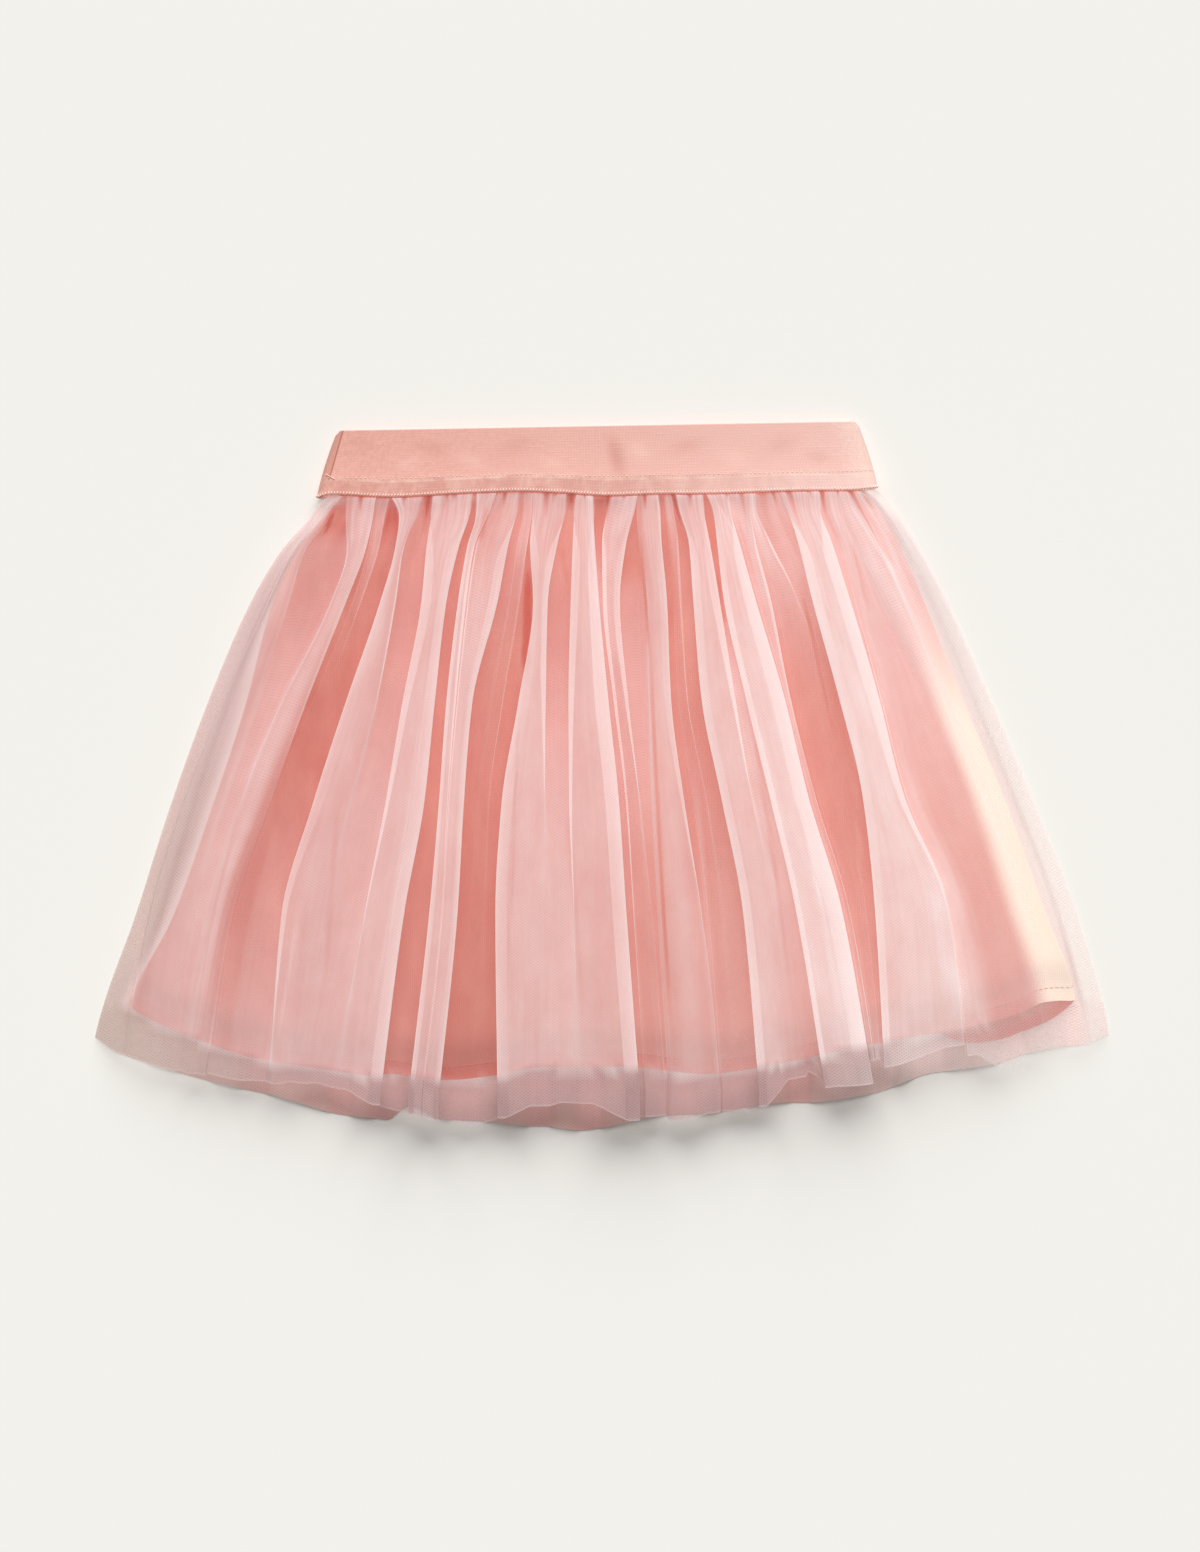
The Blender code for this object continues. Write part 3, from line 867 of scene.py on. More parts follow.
@dataclass(frozen=True)
class ElasticFinish:
    """Woven elastic: fine ribs along the band, and threads across them, with painted light on its ridge,
    swells and right end, and painted shade in its dents, puckers and pressed fold.
    """

    name: str
    colour: Colour = (0.70, 0.35, 0.286, 1.0)
    # Painted light: the band's paler tone on the right, where light falls from the right.
    pale: Colour = (0.86, 0.59, 0.55, 1.0)
    worn: Colour = (0.83, 0.465, 0.385, 1.0)
    # Painted light: the glow of the band's right end, where the light from the right falls.
    painted_glow_tone: Colour = (0.88, 0.66, 0.575, 1.0)
    # Painted highlight: the light on top of the band's raised ridge.
    ridge: Colour = (0.96, 0.67, 0.55, 1.0)
    # Painted shade: the dark in dents and in the seam strip's puckers.
    dent: Colour = (0.52, 0.20, 0.15, 1.0)
    # Painted highlight: the light on swells of the band and of its seam strip.
    swell: Colour = (0.96, 0.66, 0.57, 1.0)
    lit: Colour = (0.93, 0.68, 0.61, 1.0)
    between: Colour = (0.45, 0.13, 0.1, 1.0)
    # Painted shade: the dark of the pressed fold's crease near the band's left end.
    folded: Colour = (0.40, 0.13, 0.09, 1.0)
    shade_share: float = 0.2
    rib_pitch: float = 1.3
    rib_share: float = 0.35
    thread_pitch: float = 0.75
    face_contrast: float = 0.15
    seam_contrast: float = 0.42
    right_contrast: float = 0.25
    lit_share: float = 0.6
    to_right: Ends = (0.4, 0.8)  # where the right's paler look starts and is full
    wear: Noise = Noise((0.8, 1.0), 90.0, 3.0, 0.6, 0.42, 0.7)
    wear_share: float = 0.3
    breaks: Noise = Noise((0.35, 1.0), 480.0, 3.0, 0.7, 0.42, 0.62)
    grain: Noise = Noise((1.3, 0.9), 400.0, 3.0, 0.7, 0.38, 0.62)
    grain_share: float = 0.5
    patches: Noise = Noise((0.6, 1.0), 160.0, 2.0, 0.6, 0.35, 0.62)
    patch_share: float = 0.85
    least_share: float = 0.1
    swells: Noise = Noise((1.0, 0.6), 130.0, 3.0, 0.65, 0.46, 0.7)
    swell_share: float = 0.24
    puckers: Noise = Noise((1.0, 0.6), 130.0, 3.0, 0.65, 0.3, 0.54)
    pucker_share: float = 0.17
    fold_top: Ends = (-124.5, 164.7)
    fold_low: Ends = (-130.7, 141.9)
    fold_line: Ends = (0.2, 0.7)
    fold_line_share: float = 0.85
    fold_strip: Ends = (-0.6, 0.1)
    fold_strip_share: float = 0.28
    front_heights: Ends = (3.0, 4.5)
    fold_starts: Ends = (-2.0, 1.0)
    roughness: float = 0.75
    specular: float = 0.25
    sheen: float = 0.2
    relief: Ends = (0.12, 0.8)

    def fold_painted_shade(self, nodes: Nodes) -> object:
        """1 in the pressed fold near the band's left end, and less on the strip left of it, where the
        crease is painted dark as shade.

        Args:
            nodes: the material's nodes.

        Returns:
            The share's socket.
        """

        def between(value: object, ends: Sequence[float], to_low: float, to_high: float) -> object:
            """Maps a range in millimetres to another range."""
            return nodes.spread(value, ends[0] * MM, ends[1] * MM, to_low, to_high)

        (top_x, top_y), (low_x, low_y) = self.fold_top, self.fold_low
        lean = (top_x - low_x) / (top_y - low_y)
        fold_x = nodes.math("MULTIPLY_ADD", nodes.place("Y"), lean, (low_x - lean * low_y) * MM)
        past = nodes.math("SUBTRACT", nodes.place("X"), fold_x)
        line = between(nodes.math("ABSOLUTE", past), self.fold_line, self.fold_line_share, 0.0)
        strip = between(past, self.fold_strip, self.fold_strip_share, 0.0)
        in_front = between(nodes.place("Z"), self.front_heights, 0.0, 1.0)
        above = between(nodes.place("Y"), [low_y + start for start in self.fold_starts], 0.0, 1.0)
        return nodes.times(nodes.math("MAXIMUM", line, strip), in_front, above)

    def weave(self, nodes: Nodes) -> object:
        """1 on the elastic's ribs and threads, and 0 between them.

        Args:
            nodes: the material's nodes.

        Returns:
            The value's socket.
        """
        threads = nodes.lines(nodes.uv(), self.thread_pitch, "X")
        broken = nodes.noise_spread(self.breaks, self.least_share, 1.0)
        ribs = nodes.times(nodes.lines(nodes.uv(), self.rib_pitch, "Y"), broken)
        return nodes.math("MULTIPLY_ADD", ribs, self.rib_share, nodes.times(threads, 1.0 - self.rib_share))

    def build(self) -> Material:
        """Makes the waistband's material.

        Returns:
            The material.
        """
        nodes = Nodes(self.name)
        weave, seam = self.weave(nodes), nodes.attribute("seam")
        contrast = nodes.times(
            nodes.spread(seam, 0.0, 1.0, self.face_contrast, self.seam_contrast),
            nodes.spread(nodes.painted_light_right(), *self.to_right, 1.0, self.right_contrast),
        )
        deep = nodes.times(nodes.spread(weave, 0.0, 1.0, 1.0, 0.0), contrast)
        patches = nodes.noise_spread(self.patches, self.least_share, self.patch_share)
        lit = nodes.spread(nodes.painted_light_right(), *self.to_right, 0.0, self.lit_share)
        tone = nodes.mix_colour(nodes.painted_light_right(), self.colour, self.pale)
        # In turn: random wear, the painted glow at the right end, random grain, the ridge's painted
        # highlight, the weave's dark threads, the fold's painted shade, painted light and shade on the seam
        # strip's swells and puckers, painted light on its right, and painted shade and light on dents and
        # swells.
        for share, colour in (
            (nodes.noise_spread(self.wear, 0.0, self.wear_share), self.worn),
            (nodes.attribute("painted_glow"), self.painted_glow_tone),
            (nodes.noise_spread(self.grain, 0.0, self.grain_share), self.worn),
            (nodes.times(nodes.attribute("ridge"), patches), self.ridge),
            (deep, self.between),
            (self.fold_painted_shade(nodes), self.folded),
            (nodes.times(seam, nodes.noise_spread(self.swells, 0.0, self.swell_share)), self.swell),
            (nodes.times(seam, nodes.noise_spread(self.puckers, self.pucker_share, 0.0)), self.dent),
            (nodes.times(seam, lit), self.lit),
            (nodes.attribute("dented"), self.dent),
            (nodes.attribute("swell_highlight"), self.swell),
        ):
            tone = nodes.mix_colour(share, tone, colour)
        look = {"Base Color": tone, "Roughness": self.roughness, "Specular IOR Level": self.specular}
        look.update({"Sheen Weight": self.sheen, "Normal": nodes.bump(weave, *self.relief)})
        return nodes.finished(nodes.put("BsdfPrincipled", look), self.shade_share)


@dataclass(frozen=True)
class ThreadFinish:
    """Sewing thread: smooth, slightly glossy, with a twist that shows in the light."""

    name: str
    colour: Colour = (0.97, 0.72, 0.63, 1.0)
    dark: Colour = (0.72, 0.38, 0.32, 1.0)
    dark_share: float = 0.25
    twist_pitch: float = 0.35
    roughness: float = 0.5
    relief: Ends = (0.05, 0.6)

    def build(self) -> Material:
        """Makes the thread's material.

        Returns:
            The material.
        """
        nodes = Nodes(self.name)
        twist = nodes.lines(nodes.put("TexCoord", {}, "Object"), self.twist_pitch, "X")
        tone = nodes.mix_colour(nodes.spread(twist, 0.0, 1.0, self.dark_share, 0.0), self.colour, self.dark)
        look = {"Base Color": tone, "Roughness": self.roughness, "Normal": nodes.bump(twist, *self.relief)}
        return nodes.finished(nodes.put("BsdfPrincipled", look))


@dataclass(frozen=True)
class FloorFinish:
    """A plain pale floor."""

    name: str
    colour: Colour = (0.80, 0.785, 0.745, 1.0)
    roughness: float = 0.95

    def build(self) -> Material:
        """Makes the floor's material.

        Returns:
            The material.
        """
        nodes = Nodes(self.name)
        look = {"Base Color": self.colour, "Roughness": self.roughness, "Specular IOR Level": 0.0}
        return nodes.finished(nodes.put("BsdfPrincipled", look))


# ---------------------------------------------------------------- the front net
FOLD_LEVELS = (0.0, 10.0, 25.0, 52.0, 100.0, 148.0, 200.0, 288.0)


class Fold(NamedTuple):
    """One fold of the front net, at the fold levels: its crest's two edges and how dense the net looks.

    A tone of 1 is a pale crest, at 0 what is under the net shows, and below 0 the net is pinched together
    and its threads are painted dark, as the shade in the pinch.
    """

    left: tuple[float, ...]
    right: tuple[float, ...]
    crest: tuple[float, ...]
    valley: tuple[float, ...]  # the tones of the valley on its right
    crisp_left: Ends  # how crisp the edge is, at the waist and at the hem
    crisp_right: Ends
    laps: Ends  # how far the left and the right side lie folded under the crest
    lift: float
    drops: tuple[float, float, float]  # how much lower than the arc its left, its right and its valley end


FRONT_FOLDS = tuple(Fold(*row) for row in (
    ((-126, -137, -147, -160, -182, -201, -216.5, -230), (-124, -130, -142, -151, -168, -184, -198, -212),
     (0.8, 0.85, 0.85, 0.8, 0.75, 0.75, 0.75, 0.6), (0.3, -0.2, 0.35, 0.4, 0.7, 0.8, 0.85, 0.7),
     (0.1, 0.1), (0.3, 0), (1.5, 2), 5, (0, 0, 0)),
    ((-121, -122, -121.5, -129.5, -153, -172, -186, -200),
     (-108.5, -109.5, -112.5, -122.5, -142, -161, -180, -195),
     (0.85, 0.9, 0.9, 0.85, 0.9, 0.95, 0.9, 0.8), (0, -0.2, -0.3, 0, -0.1, 0, 0.12, 0.75),
     (0.4, 0), (1.2, -1.3), (3, 4.5), 7.5, (-1, -2, -3)),
    ((-107, -109, -111.5, -119, -138, -156, -172, -186),
     (-101.5, -104, -106.5, -115.5, -134.5, -151.5, -167, -180),
     (0.6, 0.6, 0.45, 0.05, -0.1, 0, 0.1, 0.75), (-0.3, -0.5, -0.3, 0, -0.15, 0, 0.3, 0.85),
     (0.5, -0.5), (1, -1), (1, 1.5), 3, (-3, -3, -4)),
    ((-100, -96.5, -98.5, -106, -122.5, -138, -152.5, -158),
     (-86, -89, -94.5, -98.5, -108, -121, -133, -148),
     (0.9, 0.9, 0.85, 0.9, 0.9, 0.85, 0.85, 0.8), (0.2, 0.15, 0.2, 0.25, 0.45, 0.75, 0.85, 0.8),
     (1.3, 0.1), (0.7, -0.4), (5, 3.5), 8, (-5, -7, -8)),
    ((-80, -81, -83.5, -86, -95, -103, -112.5, -126), (-62.5, -63.5, -68, -74, -79.5, -84.5, -94, -105.5),
     (0.9, 0.95, 0.95, 0.9, 0.95, 0.95, 0.95, 0.9), (0, -0.2, -0.05, 0.08, 0.07, 0.04, 0.02, 0.1),
     (1, 0), (1.1, 1.2), (4, 6), 9.5, (-7, -1.5, 1)),
    ((-59, -59.5, -64, -68.5, -74, -77.5, -82, -92), (-51, -54.5, -60.5, -64.5, -69.5, -73.5, -76.5, -86),
     (0.9, 0.9, 0.9, 0.95, 0.97, 0.9, 0.8, 0.75), (0.2, 0.1, 0.35, 0.8, 0.95, 0.85, 0.75, 0.7),
     (1.2, 1.2), (1.1, -0.6), (3, 1.5), 8.5, (1.5, 2, 2.5)),
    ((-49.5, -53, -59.5, -63.5, -68.5, -72.5, -75.5, -85),
     (-40, -41, -44.5, -49.5, -61.5, -65.5, -68.5, -77.5),
     (0.7, 0.65, 0.7, 0.88, 0.97, 0.92, 0.85, 0.8), (0.2, 0.15, 0.2, 0.15, 0.02, -0.03, -0.08, -0.08),
     (0.3, 0), (1.1, 1.1), (1.5, 4.5), 8.5, (2.5, 3.5, 4.6)),
    ((-36.5, -37, -40, -43.5, -52, -57.5, -60.5, -66), (-33, -33.5, -35.5, -39, -47, -54, -56.5, -62.5),
     (0.7, 0.7, 0.55, 0.15, 0.02, -0.03, -0.08, -0.08), (0, 0, 0.1, -0.2, -0.05, -0.03, -0.08, -0.08),
     (0.5, 0), (1, 0), (1, 1), 3, (4.6, 4.6, 4.2)),
    ((-32, -32.5, -34, -32.5, -39.5, -47.5, -50.5, -49.5), (-17.5, -18, -21, -25.5, -26.5, -27.5, -29, -30),
     (0.75, 0.75, 0.8, 0.88, 0.95, 0.95, 0.9, 0.85), (0.2, 0.1, 0.15, 0.2, 0.45, 0.8, 0.9, 0.85),
     (1, 0.9), (1.2, -0.6), (5, 3.5), 9, (1, -5, -6.5)),
    ((-11.5, -12.5, -13.5, -14.5, -15.5, -15, -12.5, -9), (-4.5, -4, -3, -1, 3.5, 8.5, 12, 18.5),
     (0.9, 0.9, 0.9, 0.93, 0.88, 0.82, 0.66, 0.7), (-0.1, -0.1, 0.1, 0.6, 0.5, 0.4, 0.14, 0.15),
     (0.9, 0), (1.4, 1.2), (4, 6.5), 10, (-6.5, 2, 1)),
    ((5, 3, 0.5, 0.8, 6, 12, 16, 23), (17.5, 15.5, 12, 9, 13, 18, 21.5, 28),
     (0.85, 0.9, 0.9, 0.8, 0.5, 0.38, 0.12, 0.15), (0.2, -0.2, -0.25, 0.3, 0.5, 0.38, 0.14, 0.2),
     (1, 0), (1.2, -0.4), (2, 3), 5, (1, 1, 2)),
    ((18.5, 17.5, 18.5, 22.5, 24, 26, 29, 35), (26.5, 28, 29, 31.5, 33.5, 39.5, 47, 55),
     (0.75, 0.75, 0.75, 0.8, 0.85, 0.8, 0.72, 0.62), (-0.1, -0.3, -0.35, -0.15, 0.05, 0.1, 0.18, 0.35),
     (0.3, 0.1), (1.3, -0.2), (2.5, 3), 7.5, (3.5, 1, 0.5)),
    ((30, 31, 32.5, 35, 38, 46, 53, 60.5), (33, 34.5, 37, 38.5, 41.5, 50, 57, 64.5),
     (0.6, 0.6, 0.35, 0.1, 0.05, 0.1, 0.18, 0.35), (-0.1, -0.2, 0, 0.08, 0.05, 0.1, 0.2, 0.35),
     (0.4, 0), (0.9, 0), (1, 1), 3, (1, 1, 2)),
    ((36, 38, 42, 44, 48, 57.5, 67.5, 75.5), (48, 49, 52, 56.5, 64, 71.5, 81.5, 93.5),
     (0.85, 0.85, 0.9, 0.92, 0.95, 0.95, 0.95, 0.9), (-0.1, -0.2, -0.1, 0.3, 0.85, 0.9, 0.75, 0.3),
     (1.1, 0.8), (1.1, -0.5), (4, 3.5), 8.5, (-0.4, -12, -14)),
    ((50, 54, 55.5, 58.5, 69, 80.5, 92.5, 107), (59.5, 61.5, 66, 73.5, 87.5, 99, 114.5, 130.5),
     (0.92, 0.98, 1.05, 1.1, 1.2, 1.2, 1.25, 1.2), (0.8, 0.75, 0.55, 0.6, 0.6, 0.5, 0.35, 0.5),
     (0.9, 0.7), (1.4, 1.4), (3, 7), 10.5, (-6, -4.5, -15)),
    ((61.5, 63.5, 68, 75.5, 89, 101, 116.5, 132), (71.5, 71.5, 74, 81, 90.5, 102.5, 118, 133),
     (1, 1, 0.95, 0.8, 0.6, 0.3, 0.1, 0.5), (0.95, 0.95, 0.8, 0.5, 0.05, 0.02, 0.08, 0.5),
     (0, 0), (1, 0.2), (0.5, 1), 6, (-15, -15, -15)),
    ((72, 72.5, 75.5, 85, 95, 105.5, 121, 134), (73, 74, 81, 93, 102, 111.5, 123.5, 135),
     (1, 1.1, 1, 0.5, 0.05, 0, 0.05, 0.5), (0.7, 0.6, 0.65, 0.45, 0.02, 0, 0.08, 0.5),
     (0, 0), (1.3, -4), (0.5, 1.5), 4, (-15, -15, -14)),
    ((86.5, 89.5, 94, 100.5, 113.5, 125, 130.8, 136), (104, 104.5, 110, 118.5, 132.5, 144.5, 164.5, 173),
     (0.9, 0.98, 1.1, 1.22, 1.32, 1.3, 1.2, 1), (0.5, 0.65, 0.75, 0.7, 0.75, 0.78, 0.8, 0.85),
     (0.9, 0.6), (1.4, -0.5), (5, 5.5), 8.5, (-11, -15.5, -13)),
    ((107, 108.5, 114.5, 121.5, 134, 146.5, 166.5, 180),
     (112.5, 114.5, 118.5, 124.5, 139.5, 153, 175.5, 194),
     (1, 1.1, 1.1, 1, 0.85, 0.82, 0.9, 0.85), (0.95, 1, 1.05, 0.95, 0.75, 0.52, 0.38, 0.38),
     (0.3, 0), (0.2, 0), (2, 2), 3, (-9.5, -2.5, -2.4)),
    ((113.5, 115.5, 122, 135.5, 159, 178, 198.5, 211), (118, 123, 131, 143.5, 163.5, 183, 202, 215),
     (1, 1.1, 1.15, 1.15, 0.85, 0.6, 0.35, 0.4), (1, 1.1, 1.15, 1.1, 0.65, 0.35, 0.15, 0.15),
     (0.1, 0), (0.3, 0), (2, 2), 6, (-6, -6.9, -3.2)),
))
LEFT_TONE = (0.5, 0.5, 0.5, 0.5, 0.5, 0.5, 0.5, 0.4)
RIGHT_TONE = (0.9, 1.0, 1.0, 0.8, 0.45, 0.2, 0.05, 0.05)
SHOULDER_DROPS = (0.0, -2.0)
CORNER_DROPS = (0.0, 1.2)


class Stop(NamedTuple):
    """A curve's value at a place along it."""

    at: float
    value: float


class SidePoint(NamedTuple):
    """One point on the way up a fold's side, from the valley to its crest."""

    lap_share: float
    folded_rise: float
    open_out: float
    open_rise: float
    crest_share: float
    soft_tone: float  # where a soft edge's tone is, between the valley's 0 and the crest's 1
    crisp_tone: float  # the same of a crisp edge


FOLD_SIDE = tuple(SidePoint(*row) for row in (
    (1, 0, 1.3, 0, 0, 0, 0), (0.9, 0.34, 0.8, 0.3, 0, 0, 0.2), (0.12, 0.5, 0.4, 0.55, 0, 0.1, 0.55),
    (0, 0.76, 0.1, 0.8, 0, 0.2, 1), (0, 0.95, 0, 0.96, 0.05, 0.3, 1.1), (0, 1, 0, 1, 0.18, 0.55, 1),
))


class Line(NamedTuple):
    """One narrow crease, pinch or bright edge of the net: where it starts and ends, and what it does."""

    start_x: float
    start_down: float
    end_x: float
    end_down: float
    bow: float
    half_width: float
    # Below 0 the tone thins the net and paints its threads dark, as the shade in the crease.
    tone: float
    rise: float


FRONT_LINES = tuple(Line(*row) for row in (
    (18.2, 18, 23.4, 84, 0.6, 0.8, -0.45, -1), (22.8, 56, 34, 265, -0.8, 0.9, -0.5, -1.3),
    (55, 34, 59.8, 68, 0, 0.9, -0.7, -0.8), (94.5, 42, 113.5, 124, 0, 0.9, -0.45, -0.8),
    (118.5, 0, 141.5, 41, 0, 1.4, -1, -0.9), (115.8, 2, 138.5, 41, 0, 0.7, 0.35, 0.4),
    (54, 4, 65, 25, 0.6, 0.7, 0.3, 0.4), (64.5, 60, 93, 258, 1, 1.2, -0.3, -0.5),
    (95.5, 148, 117, 270, 0, 0.9, 0.35, 0.6), (-83, 70, -115, 270, 4, 0.8, 0.25, 0.4),
    (-143, 190, -155, 266, 0, 0.8, 0.35, 0.5), (-140, 186, -148, 262, 0, 2.4, -0.12, -0.4),
    (-125, 138, -133, 245, 0, 1.4, -0.2, -0.4), (-35.2, 22, -38.5, 98, 1.4, 2.4, -0.55, -0.4),
    (-39, 96, -45, 240, 0, 0.8, -0.3, -0.4), (-19.5, 22, -15.5, 46, 0, 0.8, -0.5, -0.4),
    (-18, 130, -8, 255, 0, 1.8, -0.15, -0.3), (120.5, 98, 125, 200, 0, 1.4, 0.2, 0.4),
    (197, 165, 226, 206, 0, 0.9, 0.3, 0.6), (188, 146, 216, 196, 0, 0.9, 0.25, 0.5),
    (156, 168, 173, 262, 0, 6.5, 0.4, 0.3), (-152, 60, -196, 190, 0, 1.6, 0.15, 0.4),
    (-211, 196, -228, 250, 0, 2, 0.25, 0.4), (-166, 120, -198, 250, 0, 1.2, -0.15, -0.3),
    (44, 120, 55, 262, 0, 1.6, 0.2, 0.3), (118.5, 22, 128, 62, 1, 1.6, -0.35, -0.3),
    (-119, 1, -119.5, 28, 0, 0.6, 0.25, 0.3), (-126, 2, -133, 20, -1, 1.5, -0.9, -1.4),
    (-115, 0, -116, 8, 0, 0.9, -0.9, -1), (-94, 0, -95, 6, 0, 0.8, -0.9, -1),
    (-82.5, 0, -85.5, 20, 0, 1.6, -1, -1.2), (-74, 0, -75.5, 11, 0, 0.8, -0.7, -1),
    (-70.5, 0, -71.5, 6, 0, 0.8, -0.8, -0.8), (-54.5, 4, -58, 24, 0, 1.4, -0.5, -0.8),
    (-46, 0, -47, 7, 0, 0.8, -0.8, -0.9), (-26, 0, -26.5, 14, 0, 1.3, -0.8, -0.9),
    (-22, 0, -23, 6, 0, 0.8, -0.7, -0.8), (-14, 0, -14.8, 9, 0, 1.8, -1.1, -1.1),
    (-8, 0, -8, 5, 0, 0.8, -0.7, -0.8), (4, 0, 2.4, 17, 0, 1.3, -0.9, -1.1),
    (11, 0, 11, 5, 0, 0.9, -0.7, -0.8), (21, 0, 21, 10, 0, 1, -1, -1), (42.5, 0, 42.8, 10, 0, 1, -0.9, -1),
    (34, 0, 41.5, 27, 0, 0.9, -0.6, -0.8), (59.5, 0, 61, 7, 0, 0.8, -0.7, -0.8),
    (66.8, 0, 70, 16, 0, 1.1, -0.7, -0.9), (77, 0, 81.5, 20, 0, 2.2, -0.4, -0.6),
    (82, 0, 84, 8, 0, 0.9, -0.7, -0.9), (89.5, 0, 95.5, 22, 0, 1.4, -0.8, -1),
    (99, 0, 101.5, 6, 0, 0.8, -0.7, -0.8), (105.5, 0, 108, 14, 0, 1.2, -0.8, -1),
    (113, 0, 114, 6, 0, 0.8, -0.7, -0.8), (125, 0, 131, 12, 0, 1.1, -0.7, -0.9),
    (-131, 2, -139, 16, 0, 0.8, -0.3, -0.8),
))


# How far the band's lower edge hangs below its seam line.
BAND_EDGE_WAVES = tuple(Stop(*row) for row in (
    (-136, 0.3), (-130, -1), (-100, 0.7), (-66, -0.5), (-42, -1), (-18, 0.2), (4, 1.9), (28, 1.5),
    (48, 1.8), (68, 1.6), (96, 1.1), (120, 1.4), (134, 0.2),
))


def band_edge(x: Array) -> Array:
    """How far the band's lower edge hangs below its seam line at x."""
    return table_curve(BAND_EDGE_WAVES, "value", x)


def across_cloth(points: Array, row: int, width: float) -> Array:
    """How far across the flat cloth each column lies.

    Args:
        points: a grid of places, (columns, rows, 3).
        row: the row along which the cloth is measured.
        width: the flat cloth's width.

    Returns:
        One value for each point, the same all the way down a column.
    """
    lengths = np.linalg.norm(np.diff(points[:, row], axis=0), axis=1)
    reach = np.concatenate([[0.0], np.cumsum(lengths)])
    return (reach * width / reach[-1])[:, None] + np.zeros(points.shape[:2])


def slope_of(points: Array) -> Array:
    """How much a grid of points faces up or down: 1 where it is level and 0 where it stands upright.

    Args:
        points: a grid of places, (columns, rows, 3).

    Returns:
        One value for each point.
    """
    along_columns = np.gradient(points, axis=0)
    along_rows = np.gradient(points, axis=1)
    normal = np.cross(along_columns, along_rows)
    return np.abs(normal[:, :, 2]) / np.maximum(np.linalg.norm(normal, axis=2), 1e-9)


@dataclass(frozen=True)
class NetCover:
    """How much of what lies under the net its threads cover."""

    thin: float = 0.10
    full: float = 0.60
    least: float = 0.04
    most: float = 0.93
    least_level: float = 0.3
    layer_gain: float = 0.6

    def of(self, tone: Array) -> Array:
        """The cover that a tone stands for."""
        return np.clip(self.thin + tone * (self.full - self.thin), self.least, self.most)

    def leaning(self, cover: Array, level: Array) -> Array:
        """The cover where the net leans, so that more of its threads lie behind each other."""
        layers = 1.0 / np.maximum(level, self.least_level)
        return 1.0 - (1.0 - cover) ** (1.0 + self.layer_gain * (layers - 1.0))


class NetNear(Enum):
    """The levels of the rows near the waist, on each side of the skirt."""

    FRONT = (
        (-6.0, -3.0, -1.5, -1.0, -0.5, 0.0, 0.5, 1.0, 1.5, 2.0, 2.5, 3.0, 3.6, 4.4, 5.6, 7.2)
        + (9.0, 11.0, 13.5, 16.5, 20.0, 24.0, 28.5, 33.5, 39.0, 45.0, 52.0, 60.0)
    )
    BACK = (-6.0, -2.0, 0.0, 1.5, 3.0, 5.0, 7.5, 10.5, 14.0, 18.0, 23.0, 29.0, 36.0, 44.0, 52.0, 60.0)


Place = Callable[[Array], tuple[Array, Array]]  # gives (x, z) at an array of levels


class Given(NamedTuple):
    """A column that the tables give."""

    place: Place
    drop: float  # how much lower than the hem's arc it ends
    tone: Sequence[float]  # how dense the net looks at each of the fold levels
    parts: int  # into how many parts the stretch on its right is divided


